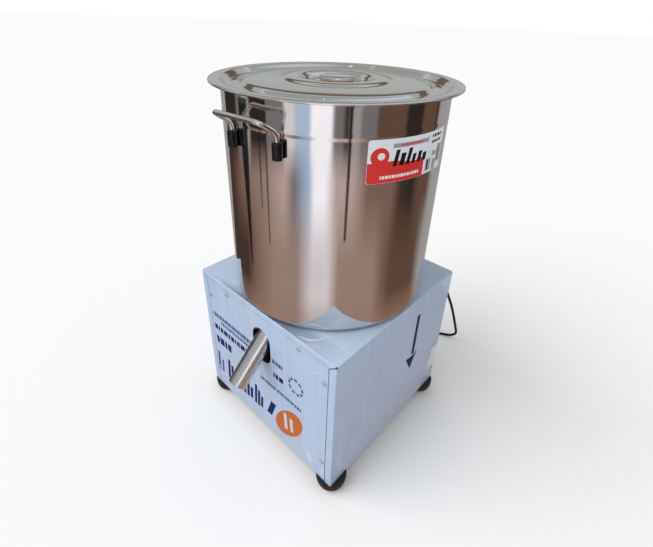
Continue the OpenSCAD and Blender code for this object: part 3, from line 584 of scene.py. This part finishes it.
def make_wrapper():
    """Top and sides folded from one sheet, with flanges round both ends that meet in open mitres, and
    joggled lips that the panels are screwed to."""
    sheet = Sheet()
    c = BEND
    corner = [(W - c + c * math.sin(a), TOP - c + c * math.cos(a)) for a in quarter(5)]
    low_bend = [(W - c + c * math.cos(a), BASE + c - c * math.sin(a)) for a in quarter(4)]
    right = corner + [(W, 250), (W, 140), (W, BASE + c)]
    over = [(-x, z) for x, z in right[::-1]] + [(0, TOP)] + right
    ys = [-D + c, -157, 0, 157, D - c]
    sheet.strip([[(x, y, z) for x, z in over] for y in ys])
    for s in (-1, 1):
        sheet.strip([[(s * x, y, z) for x, z in low_bend + [(W - 36, BASE)]] for y in (-157, 0, 157)])
        for y0, y1 in ((-D + c, -157), (157, D - c)):
            sheet.strip([[(s * W, y, BASE + c), (s * W, y, BASE)] for y in (y0, y1)])
    # section of an end, as inward depth and distance behind the end's plane
    bend = [(c - c * math.sin(a), c - c * math.cos(a)) for a in quarter(5)[::-1]]
    side, over_top, slit = FLANGE_SIDE, FLANGE_TOP, MITRE_GAP
    r = 1.3
    nose = [(side - r + r * math.sin(a), r - r * math.cos(a)) for a in quarter(4, 1)]
    lip_back, lip_wide = 2.6, 22
    lip = [(side, lip_back), (side + lip_wide, lip_back)]
    for ey in (-1, 1):
        def y_of(d):
            return ey * (D - d)
        flat = [(2 + 3.75 * k, 0) for k in range(1, 4)]
        for s in (-1, 1):
            cols = bend + flat + nose + [lip[0]]
            top_end = []
            for d, b in cols:
                f = (d - c) / (side - c)
                top_end.append(TOP - c - (over_top - c) * f - slit if d > c else TOP - c - slit)
            rows = []
            for z in (BASE, 58, 200, 327.5):
                rows.append([(s * (W - d), y_of(b), z) for d, b in cols])
            rows.append([(s * (W - d), y_of(b), t) for (d, b), t in zip(cols, top_end)])
            sheet.strip(rows)
            sheet.strip([[(s * (W - d), y_of(b), z) for d, b in lip] for z in (58, 200, 327.5)])
        cols = bend + [(c + (d - c) * (over_top - c) / (side - c), b) for d, b in flat + nose[:-1]]
        cols += [(over_top, nose[-1][1]), (over_top, lip_back)]
        side_d = [d for d, b in bend + flat + nose[:-1]] + [side, side]
        rows = []
        for s in (-1, -0.5, 0, 0.5, 1):
            row = []
            for (d, b), ds in zip(cols, side_d):
                x = W - c if d <= c else W - ds
                x = x - slit
                row.append((s * x, y_of(b), TOP - d))
            rows.append(row)
        sheet.strip(rows)
        sheet.strip([[(s * (W - side - slit), y_of(lip_back), z) for s in (-1, -0.5, 0, 0.5, 1)]
                     for z in (TOP - over_top, TOP - over_top - lip_wide)])
    obj = add("folded_wrapper", sheet.v, sheet.f, "frame", film, 28, "film_steel", ["cabinet_wrapper"])
    bm = bmesh.new()
    bm.from_mesh(obj.data)
    bmesh.ops.remove_doubles(bm, verts=bm.verts, dist=2e-5)
    bmesh.ops.recalc_face_normals(bm, faces=bm.faces)
    top = max(bm.faces, key=lambda q: q.calc_center_median().z)
    if top.normal.z < 0:
        bmesh.ops.reverse_faces(bm, faces=bm.faces)
    bm.to_mesh(obj.data)
    bm.free()
    obj.data.set_sharp_from_angle(angle=math.radians(28))
    thick = obj.modifiers.new("thickness", "SOLIDIFY")
    thick.thickness, thick.offset = SHEET / 1000, -1
    shading = obj.modifiers.new("shading", "WEIGHTED_NORMAL")
    shading.keep_sharp = True
    return obj


def outline(w, h, r, n=6):
    """A rounded rectangle about the origin, counter-clockwise."""
    return [(sx * (w / 2 - r) + r * math.cos(a), sz * (h / 2 - r) + r * math.sin(a))
            for sx, sz, q in ((1, 1, 0), (-1, 1, 1), (-1, -1, 2), (1, -1, 3))
            for a in (math.pi / 2 * (q + k / n) for k in range(n + 1))]


def make_front_panel():
    """A flat plate with rounded edges and the outlet's slot."""
    wide, tall, middle = 363, 320.6, 188.4
    plate = [(x, z + middle) for x, z in outline(wide, tall, 1.2, 3)]
    slot = [(x, z + SLOT_Z) for x, z in outline(SLOT_W, SLOT_H, SLOT_W / 2 - 0.01, 16)]
    bm = bmesh.new()
    loops = []
    for ring in (plate, slot):
        vs = [bm.verts.new(at(x, -D + 0.4, z)) for x, z in ring]
        loops += [bm.edges.new((vs[i], vs[(i + 1) % len(vs)])) for i in range(len(vs))]
    bmesh.ops.triangle_fill(bm, use_beauty=True, edges=loops)
    for f in bm.faces:
        if f.normal.y > 0:
            f.normal_flip()
    mesh = bpy.data.meshes.new("front_plate")
    bm.to_mesh(mesh)
    bm.free()
    mesh.materials.append(film)
    obj = bpy.data.objects.new("front_plate", mesh)
    scene.collection.objects.link(obj)
    thick = obj.modifiers.new("thickness", "SOLIDIFY")
    thick.thickness, thick.offset = SHEET / 1000, -1
    edge = obj.modifiers.new("edges", "BEVEL")
    edge.width, edge.segments = 0.0005, 3
    edge.limit_method, edge.angle_limit = "ANGLE", math.radians(60)
    edge.harden_normals = True
    mesh.polygons.foreach_set("use_smooth", [True] * len(mesh.polygons))
    return settle(obj, "frame", "film_steel", ["front_panel"])


def screw_head():
    """A pan head with a cross recess, standing along +Z at the origin, in millimetres."""
    head = [(0, -6), (2.15, -6), (2.2, -5.4), (2.2, -0.2), (4.6, -0.2), (4.8, 0.1), (4.8, 0.9),
            (4.55, 1.6), (3.9, 2.2), (2.9, 2.6), (1.5, 2.8), (0, 2.85)]
    v, f = lathe(head, lambda x, y, z: Vector((x, y, z)), 40)
    bm = bmesh.new()
    vs = [bm.verts.new(q) for q in v]
    for q in f:
        bm.faces.new([vs[i] for i in q])
    bmesh.ops.remove_doubles(bm, verts=bm.verts, dist=1e-4)
    bmesh.ops.recalc_face_normals(bm, faces=bm.faces)
    a, b, top, floor_ = 2.3, 0.42, 3.4, 0.9
    plan = [(b, b), (b, a), (-b, a), (-b, b), (-a, b), (-a, -b), (-b, -b), (-b, -a), (b, -a), (b, -b),
            (a, -b), (a, b)]
    cutter = bmesh.new()
    low_ring = [cutter.verts.new((x * 0.7, y * 0.7, floor_)) for x, y in plan]
    high_ring = [cutter.verts.new((x, y, top)) for x, y in plan]
    cutter.faces.new(low_ring[::-1])
    cutter.faces.new(high_ring)
    for i in range(12):
        k = (i + 1) % 12
        cutter.faces.new([low_ring[i], low_ring[k], high_ring[k], high_ring[i]])
    bmesh.ops.recalc_face_normals(cutter, faces=cutter.faces)
    pieces = []
    for name, mesh_data in (("head", bm), ("recess", cutter)):
        mesh = bpy.data.meshes.new(name)
        mesh_data.to_mesh(mesh)
        mesh_data.free()
        obj = bpy.data.objects.new(name, mesh)
        scene.collection.objects.link(obj)
        pieces.append(obj)
    cut = pieces[0].modifiers.new("recess", "BOOLEAN")
    cut.operation, cut.solver, cut.object = "DIFFERENCE", "EXACT", pieces[1]
    done = bpy.data.meshes.new_from_object(pieces[0].evaluated_get(bpy.context.evaluated_depsgraph_get()))
    for obj in pieces:
        bpy.data.objects.remove(obj)
    verts, faces = [v.co.copy() for v in done.vertices], [tuple(q.vertices) for q in done.polygons]
    bpy.data.meshes.remove(done)
    return verts, faces


SCREWS = ((-173.8, 85), (173.8, 85), (-173.8, 308), (173.8, 308), (-109, 342), (109, 342))


def make_screws(side, name):
    """One panel's six screws, each turned its own way; side is -1 in front and 1 behind."""
    head_v, head_f = screw_head()
    verts, faces = [], []
    for n, (x, z) in enumerate(SCREWS):
        turn = math.radians(17 + 61 * n)
        c, k = math.cos(turn), math.sin(turn)
        base = len(verts)
        for q in head_v:
            px, pz = q.x * c - q.y * k, q.x * k + q.y * c
            verts.append(at(x + px, side * (D - 0.4 + q.z), z + pz))
        faces += [tuple(base + i for i in q) for q in head_f]
    add("screws_" + name, verts, faces, "frame", screw_steel, 35, "screw_steel", [name + "_panel_screws"])


def make_pipe():
    """The outlet: a plain tube at 45 degrees, pushed into a socket that ends at the drum's floor."""
    full = (DRUM_Z - PIPE_END_Z) * math.sqrt(2)
    slope = math.sqrt(0.5)
    socket_at, socket_r = 140, PIPE_R + 1.4

    def place(x, y, s):
        s = s if s < full - 30 else full - y
        return at(x, -D - PIPE_REACH + (s - y) * slope, PIPE_END_Z + (s + y) * slope)

    profile = [(PIPE_BORE, 0.3), (PIPE_BORE + 0.3, 0), (PIPE_R - 0.3, 0), (PIPE_R, 0.3), (PIPE_R, 60),
               (PIPE_R, socket_at), (socket_r, socket_at + 0.2), (socket_r, full), (PIPE_BORE, full),
               (PIPE_BORE, 60)]
    v, f = lathe(profile, place, 96)
    add("outlet_tube", v, f, "frame", pipe_steel, 35, "pipe_steel", ["outlet_pipe"])


LEAD = [(-130, -100, 118), (-132, -118, 160), (-130, -140, 220), (-118, -160, 280), (-92, -176, 316),
        (-62, -185, 319), (-40, -190, 309), (-24, -191, 304), (-14, -191, 312), (-7, -191, 318),
        (4, -189, 325), (22, -184, 332), (50, -172, 342), (84, -140, 345), (108, -90, 340), (116, -30, 318),
        (112, 20, 270), (104, 60, 222), (96, 84, 190)]


def make_lead():
    """The red lead from the capacitor, past the slot, to the motor's terminal box."""
    v, f = sweep([at(*p) for p in spline(LEAD, 6)], LEAD_R / 1000, 12)
    add("lead_wire", v, f, "frame", red_plastic, 40, "red_lead", ["red_lead"])


make_wrapper()
make_front_panel()
make_pipe()
make_lead()
make_screws(-1, "front")
make_screws(1, "back")


# ---------------------------------------------------------------- prints, label and film marks

def decal(name, shapes, place, material, thick=0.15, step=0, lift=0.0, body="frame", slot="film_steel"):
    """Thin flat shapes laid on a surface: place maps (across, up, height) in millimetres to a point."""
    bm = bmesh.new()
    for shape in shapes:
        bm.faces.new([bm.verts.new((x, y, lift)) for x, y in shape])
    if step:
        xs = [v.co.x for v in bm.verts]
        x = min(xs) + step
        while x < max(xs):
            geom = bm.verts[:] + bm.edges[:] + bm.faces[:]
            bmesh.ops.bisect_plane(bm, geom=geom, plane_co=(x, 0, 0), plane_no=(1, 0, 0))
            x += step
    bmesh.ops.recalc_face_normals(bm, faces=bm.faces)
    up = [f for f in bm.faces if f.normal.z < 0]
    if up:
        bmesh.ops.reverse_faces(bm, faces=up)
    made = bmesh.ops.extrude_face_region(bm, geom=bm.faces[:])
    for v in [g for g in made["geom"] if isinstance(g, bmesh.types.BMVert)]:
        v.co.z += thick
    bmesh.ops.triangulate(bm, faces=[f for f in bm.faces if len(f.verts) > 4])
    for v in bm.verts:
        v.co = place(*v.co)
    bmesh.ops.recalc_face_normals(bm, faces=bm.faces)
    mesh = bpy.data.meshes.new(name)
    bm.to_mesh(mesh)
    bm.free()
    mesh.materials.append(material)
    obj = bpy.data.objects.new(name, mesh)
    scene.collection.objects.link(obj)
    mesh.polygons.foreach_set("use_smooth", [True] * len(mesh.polygons))
    mesh.set_sharp_from_angle(angle=math.radians(35))
    return settle(obj, body, slot)


def on_front(x, z, h):
    return at(x, -D + 0.4 - h, z)


def on_right(y, z, h):
    return at(W + h, y, z)


def on_top(x, y, h):
    return at(x, y, TOP + h)


def on_drum(u, z, h):
    """u runs round the wall in millimetres from the label's middle."""
    a = math.radians(-10.6) + u / DRUM_R
    return at((DRUM_R + h) * math.cos(a), (DRUM_R + h) * math.sin(a), z)


def slab(x0, z0, x1, z1, lean=0.0):
    """A block, leant over by that much across its height."""
    return [(x0, z0), (x1, z0), (x1 + lean, z1), (x0 + lean, z1)]


def moved(points, x, z, turn=0.0):
    c, s = math.cos(math.radians(turn)), math.sin(math.radians(turn))
    return [(x + px * c - pz * s, z + px * s + pz * c) for px, pz in points]


def ellipse(a, b, n):
    return [(a * math.cos(t), b * math.sin(t)) for t in round_steps(n)]


def dashes(x0, x1, z0, z1, count, gap=0.35, vary=5):
    """A row of small blocks of uneven width, standing for a line of print."""
    widths = [2 + ((k * 7 + vary) % 5) for k in range(count)]
    unit = (x1 - x0) / (sum(widths) + gap * 4 * count)
    out, x = [], x0
    for w in widths:
        out.append(slab(x, z0, x + w * unit, z1))
        x += (w + gap * 4) * unit
    return out


navy = grained("navy_print", srgb(8, 24, 100), 0.42, plain, 500.0, metal=0.0, vary=0.08, depth=0.00001,
               Specular_IOR_Level=0.12)
faded = grained("faded_print", srgb(62, 84, 140), 0.42, plain, 500.0, metal=0.0, vary=0.1, depth=0.00001,
                Specular_IOR_Level=0.12)
orange = grained("orange_print", srgb(190, 98, 34), 0.4, plain, 400.0, metal=0.0, vary=0.05, depth=0.00001)
film_bare = grained("film_unprinted", srgb(186, 203, 224), 0.3, plain, 60.0, metal=0.0, vary=0.03,
                    depth=0.00002)
paper = grained("label_white", srgb(226, 229, 236), 0.22, plain, 240.0, metal=0.0, vary=0.02, depth=0.00001,
                Coat_Weight=0.4)
label_red = grained("label_red", srgb(214, 44, 40), 0.24, plain, 240.0, metal=0.0, vary=0.04, depth=0.00001,
                    Coat_Weight=0.4)
label_ink = grained("label_ink", srgb(30, 28, 30), 0.4, plain, 240.0, metal=0.0, vary=0.1, depth=0.00001,
                    Specular_IOR_Level=0.15)
label_grey = grained("label_grey", srgb(150, 154, 160), 0.28, plain, 240.0, metal=0.0, vary=0.05,
                     depth=0.00001)
tape = grained("clear_tape", srgb(222, 232, 242), 0.2, plain, 120.0, metal=0.0, vary=0.04, depth=0.0001,
               Coat_Weight=0.6)


def make_prints():
    """The film's print as plain blocks, bars and a disc, the film's own patches and tears, and a painted
    highlight on the top.
    """
    rows = dashes(-174, -32, 251, 262, 22) + dashes(32, 64, 251, 262, 5, vary=3)
    rows += dashes(-147, -34, 237.5, 245, 20, vary=2)
    rows += dashes(-10, 42, 175, 183, 8, vary=1) + dashes(44, 116, 176, 184, 12, vary=4)
    decal("print_small", rows, on_front, faded, 0.12)
    mid = dashes(-174, -34, 212, 226, 11, vary=3) + dashes(34, 66, 213, 226, 3)
    mid += dashes(-172, -112, 170, 191, 4, vary=2)
    decal("print_medium", mid, on_front, navy, 0.12)
    big = []
    for x0, x1 in ((-140, -106), (-79, -44), (-38, -8)):
        w = x1 - x0
        big += [slab(x0, 74, x0 + w * 0.25, 138, 5), slab(x0 + w * 0.36, 74, x0 + w * 0.61, 126, 4),
                slab(x0 + w * 0.72, 78, x0 + w * 0.97, 114, 3)]
    big += [slab(6, 82, 22, 128, 16)]
    decal("print_large", big, on_front, navy, 0.12)
    worn = [slab(-180, 74, -172, 138, 4), slab(-165, 76, -158, 118, 3)]
    decal("print_large_faded", worn, on_front, faded, 0.12)
    decal("print_disc", [moved(ellipse(56, 30, 48), 77, 106, 52)], on_front, orange, 0.12)
    bars = [moved(slab(-4.5, -24, 4.5, 24), 68, 106, 4), moved(slab(-4, -20, 4, 20), 86, 108, 4)]
    decal("print_disc_bars", bars, on_front, film_bare, 0.1, lift=0.12)
    ring = [moved(slab(-4.2, 15.5, 4.2, 21), 100, 236, 360 * k / 9) for k in range(9)]
    decal("print_ring", ring, on_front, faded, 0.12)
    arrow = [[(60, 204), (71.5, 204), (72, 316), (61, 316)], [(40, 203), (63, 161), (85, 203.5), (66, 198)]]
    decal("print_arrow", arrow, on_right, navy, 0.12)
    patch = [(163, 80), (196, 78), (196.5, 112), (195, 146), (166, 144), (168, 118), (161, 100)]
    decal("tape_patch", [patch], on_right, tape, 0.25)
    peel = [(140, 361), (196, 361), (196.4, 306), (176, 322), (160, 344)]
    decal("film_peel", [peel], on_right, film_bare, 0.2)
    # a pale crescent on the top near the front corner, laid as a thin white decal: a painted highlight
    # standing in for the drum's bright band mirrored in the glossy film
    outer = [(99, -190.4), (108, -188.9), (120, -186.2), (129, -179.5), (135, -171.5), (139, -160.5)]
    inner = [(137.4, -161.4), (133, -171), (127, -178), (119, -184), (108, -187.6)]
    decal("top_crescent_painted_highlight", [outer + inner], on_top, paper, 0.12)
    nicks = [slab(170, -141, 175, -140, 1), slab(141, -184, 146, -183.2, 1.5),
             slab(-60, -186, -52, -185.2, 2)]
    decal("film_nicks", nicks, on_top, paper, 0.1)


def make_label():
    """The drum's label, with blocks and bars in the place of its lettering."""
    white = [(x, z + 685.5) for x, z in outline(167, 67, 4, 5)]
    decal("label_base", [white], on_drum, paper, 0.2, 6, slot="film_steel")
    low = [(-83.2, 684), (-83.2, 656.2), (-81.5, 653), (-79.2, 652.3), (23, 652.3), (23, 684), (-2, 680),
           (-40, 686)]
    decal("label_band", [low], on_drum, label_red, 0.06, 6, 0.2)
    decal("label_disc", [moved(ellipse(15, 14, 40), -64, 693)], on_drum, label_red, 0.05, 6, 0.26)
    decal("label_disc_eye", [moved(ellipse(6, 5.4, 32), -62, 694)], on_drum, paper, 0.04, 6, 0.31)
    ink = [slab(-42, 677, -35, 702, 5), slab(-31, 677, -22, 696, 4), slab(-18, 677, -11, 702, 5),
           slab(-7, 677, 0, 692, 3), slab(5, 677, 13, 694, 3), slab(17, 677, 26, 690, 2)]
    decal("label_blocks", ink, on_drum, label_ink, 0.05, 6, 0.26)
    decal("label_pill", [slab(-44, 705, 30, 711.5, 1)], on_drum, label_grey, 0.05, 6, 0.2)
    decal("label_pill_marks", dashes(-30, 16, 707, 709.8, 9), on_drum, label_red, 0.04, 6, 0.25)
    decal("label_marks", dashes(-62, 14, 658.5, 663.5, 14), on_drum, paper, 0.04, 6, 0.26)
    small = dashes(40, 74, 709, 713.5, 4) + dashes(40, 72, 700, 704, 4, vary=2)
    small += dashes(-82, -66, 670, 671, 1)
    decal("label_small", small, on_drum, label_ink, 0.04, 6, 0.2)
    boxes = [slab(30, 656, 44, 676), slab(50, 653, 62, 672), slab(62.5, 664, 80, 694),
             slab(46, 678, 60, 686)]
    decal("label_boxes", boxes, on_drum, label_grey, 0.04, 6, 0.2)
    marks = [slab(32, 658, 36, 674), slab(66, 668, 69, 690)]
    decal("label_boxes_low", marks, on_drum, label_ink, 0.03, 6, 0.24)


make_prints()
make_label()


# ---------------------------------------------------------------- stage, room and light

def staged(name, verts, faces, material):
    mesh = bpy.data.meshes.new(name)
    mesh.from_pydata([tuple(v) for v in verts], [], faces)
    mesh.materials.append(material)
    obj = bpy.data.objects.new(name, mesh)
    scene.collection.objects.link(obj)
    return obj


def make_stage():
    """A white floor and backdrop, a soft sky and one key light."""
    floor_m = Mat("floor", Base_Color=(0.9, 0.9, 0.9, 1), Roughness=0.9)
    floor_m.set(Specular_IOR_Level=0.1)
    staged("floor", [(-30, -30, 0), (30, -30, 0), (30, 30, 0), (-30, 30, 0)], [(0, 1, 2, 3)], floor_m.m)
    white = Mat("backdrop")
    shine = white.t.nodes.new("ShaderNodeEmission")
    shine.inputs[0].default_value, shine.inputs[1].default_value = (1, 1, 1, 1), 1.0
    white.t.links.new(shine.outputs[0], white.out.inputs[0])
    white.m.cycles.emission_sampling = "NONE"
    near_r, far_r, tall = 28000, 28100, 9000
    v, f = lathe([(near_r, 1), (near_r, tall), (far_r, tall), (far_r, 1)], steps=48)
    backdrop = staged("backdrop", v, f, white.m)
    backdrop.visible_diffuse = backdrop.visible_glossy = backdrop.visible_shadow = False
    backdrop.visible_transmission = backdrop.visible_volume_scatter = False
    world = bpy.data.worlds.new("world")
    scene.world = world
    world.use_nodes = True
    world.node_tree.nodes["Background"].inputs[0].default_value = (1, 1, 1, 1)
    world.node_tree.nodes["Background"].inputs[1].default_value = 0.66
    sun = bpy.data.lights.new("key", "SUN")
    sun.energy, sun.angle = 2.0, math.radians(55)
    lamp = bpy.data.objects.new("key", sun)
    scene.collection.objects.link(lamp)
    lamp.location = (-1.5, -2.2, 2.4)
    lamp.rotation_euler = (-lamp.location).to_track_quat("-Z", "Y").to_euler()
    lamp.visible_glossy = lamp.visible_camera = False


# The room's tones
DARK, SHADE, WOOD, FLOOR = (45, 38, 36), (64, 50, 44), (92, 70, 58), (118, 94, 84)
LIT, ROSE, WALL, GREY = (148, 126, 116), (178, 158, 152), (112, 106, 110), (146, 144, 142)
BLUE, PALE, WHITE = (165, 182, 203), (205, 198, 202), (243, 241, 248)

# What stands round the drum, each from a direction on, in degrees round its axis: cupboard, two walls,
# shelf, wall, door, sky, window, curtain, post, two walls, panelling, chair, panelling, its edge and wall.
# Set to 5 degrees and in a few plain tones, after where the photo's reflections fall
FAR = [(-180, DARK), (-155, WALL), (-145, GREY), (-135, DARK), (-115, WALL), (-95, PALE), (-85, BLUE),
       (-70, WHITE), (-50, WALL), (-40, SHADE), (-35, GREY), (-25, WALL), (-10, WOOD), (20, DARK),
       (40, WOOD), (60, SHADE), (65, GREY)]
EDGE = 3
# The floor further out and at the drum's foot, brightest before the window and dark under the chair
MIDDLE = [(-170, SHADE), (-150, FLOOR), (-115, LIT), (-95, ROSE), (-85, WALL), (-70, BLUE), (-65, WHITE),
          (-55, WHITE), (-45, ROSE), (-30, ROSE), (-15, FLOOR), (10, FLOOR), (20, SHADE), (35, DARK),
          (45, WOOD), (60, WOOD), (70, GREY)]
NEAR = [(-170, SHADE), (-145, SHADE), (-130, FLOOR), (-105, LIT), (-80, LIT), (-65, PALE), (-50, PALE),
        (-40, LIT), (-5, LIT), (5, FLOOR), (15, WOOD), (50, WOOD), (65, GREY)]

ROOM_R, ROOM_H = 2600, 3000
# a fixed direction, in degrees round the drum's axis from -X
FRONT_RIGHT = 311.7
# each leg as x, y, foot radius, top radius and height, in metres
LEGS = ((-0.61, -0.58, 0.012, 0.09, 0.62), (-0.70, -1.18, 0.012, 0.03, 0.75),
        (-0.38, -0.98, 0.01, 0.02, 0.8), (0.95, -0.66, 0.022, 0.03, 0.8))


def make_room():
    """What the polished steel mirrors: a brown floor with light falling across it, furniture legs, walls
    and a ceiling with lamps. Only reflections see it, so the stage stays plain and pale."""
    m = Mat("room")
    n = m.node("SeparateXYZ", m.node("NewGeometry")).node.outputs
    x, y, z = n[0], m.math("SUBTRACT", n[1], AXIS_Y / 1000), n[2]
    around = m.math("ADD", m.math("DIVIDE", m.math("ARCTAN2", y, x), 2 * math.pi), 0.5)
    edges = [(a + side * EDGE / 2, tone) for k, (a, _) in enumerate(FAR) if k
             for side, tone in ((-1, FAR[k - 1][1]), (1, FAR[k][1]))]
    far, middle, near = (m.ramp(around, [((a + 180) / 360, srgb(*tone)) for a, tone in table])
                         for table in (edges, MIDDLE, NEAR))
    out = m.length(x, y)
    ground = m.mix(m.range(out, 0.5, 0.75, 1.0, 0.0), near, srgb(146, 116, 102))
    ground = m.mix(m.range(out, 0.95, 1.6, 0.0, 1.0), ground, middle)
    low = m.mix(m.range(out, 1.8, 2.5, 0.0, 1.0), ground, far)

    def facing(turn, inner, outer):
        """1 where the direction is within a share of a turn of the given one, fading to 0."""
        return m.range(m.math("ABSOLUTE", m.math("SUBTRACT", around, turn / 360)), inner, outer, 1.0, 0.0)

    def band(bottom, top, soft):
        """1 between two heights."""
        rise, fall = m.range(z, bottom, bottom + soft, 0.0, 1.0), m.range(z, top - soft, top, 1.0, 0.0)
        return m.math("MULTIPLY", rise, fall)

    behind = facing(FRONT_RIGHT, 0.14, 0.2)
    level = m.mix(behind, far, srgb(116, 102, 90))
    wall = m.mix(m.range(z, 0.35, 0.7, 0.0, 1.0), low, level)
    high = m.mix(m.range(z, 0.75, 1.1, 0.0, 1.0), wall, srgb(160, 164, 163))
    window = m.math("MULTIPLY", facing(138, 0.03, 0.05), band(0.7, 1.5, 0.1))
    high = m.mix(window, high, srgb(255, 255, 255))
    beam = m.math("MULTIPLY", facing(FRONT_RIGHT, 0.2, 0.26), band(1.55, 2.2, 0.1))
    high = m.mix(beam, high, srgb(100, 86, 76))
    top = m.mix(m.range(z, 2.5, 2.95, 0.0, 1.0), high, srgb(186, 194, 203))
    dim = m.mix(m.range(x, -0.2, 0.5, 1.0, 0.0), top, srgb(150, 152, 150))
    roof = m.mix(m.range(z, 2.94, 2.98, 0.0, 1.0), top, dim)
    glow = m.t.nodes.new("ShaderNodeEmission")
    m.plug(roof, glow.inputs[0])
    glow.inputs[1].default_value = 1.3
    m.t.links.new(glow.outputs[0], m.out.inputs[0])
    m.m.cycles.emission_sampling = "NONE"
    v, f = lathe([(0, 1), (600, 1), (ROOM_R, 1), (ROOM_R, 800), (ROOM_R, 1600), (ROOM_R, ROOM_H),
                  (1200, ROOM_H), (0, ROOM_H)], steps=96)
    f = [q for q in f if not (min(v[i].z for i in q) < 0.01 and max(v[i].z for i in q) > 2.9)]
    room = staged("room", v, f, m.m)
    dark = Mat("furniture", Base_Color=srgb(24, 24, 27), Roughness=0.6).m
    legs = []
    for x, y, r0, r1, height in LEGS:
        v, f = lathe([(0, 0), (r0 * 1000, 0), (r1 * 1000, height * 1000), (0, height * 1000)],
                     lambda px, py, pz: at(x * 1000 + px, y * 1000 + py, pz + 2), 16)
        legs.append(staged(f"leg_{len(legs)}", v, f, dark))
    lamp = Mat("ceiling_lamp")
    bright = lamp.t.nodes.new("ShaderNodeEmission")
    bright.inputs[0].default_value, bright.inputs[1].default_value = srgb(235, 243, 255), 6
    lamp.t.links.new(bright.outputs[0], lamp.out.inputs[0])
    lamp.m.cycles.emission_sampling = "NONE"
    spots_v, spots_f = [], []
    for i in range(4):
        for j in range(5):
            v, f = lathe([(0, 0), (20, 0), (20, 12), (0, 12)],
                         lambda px, py, pz: at(-700 + j * 520 + px, -1900 + i * 560 + py, pz + 2960), 12)
            spots_f += [tuple(k + len(spots_v) for k in q) for q in f]
            spots_v += v
    spots = staged("ceiling_lamps", spots_v, spots_f, lamp.m)
    for obj in [room, spots] + legs:
        obj.visible_camera = obj.visible_diffuse = obj.visible_shadow = False
        obj.visible_transmission = obj.visible_volume_scatter = False


make_stage()
make_room()
scene.view_settings.view_transform = "Standard"
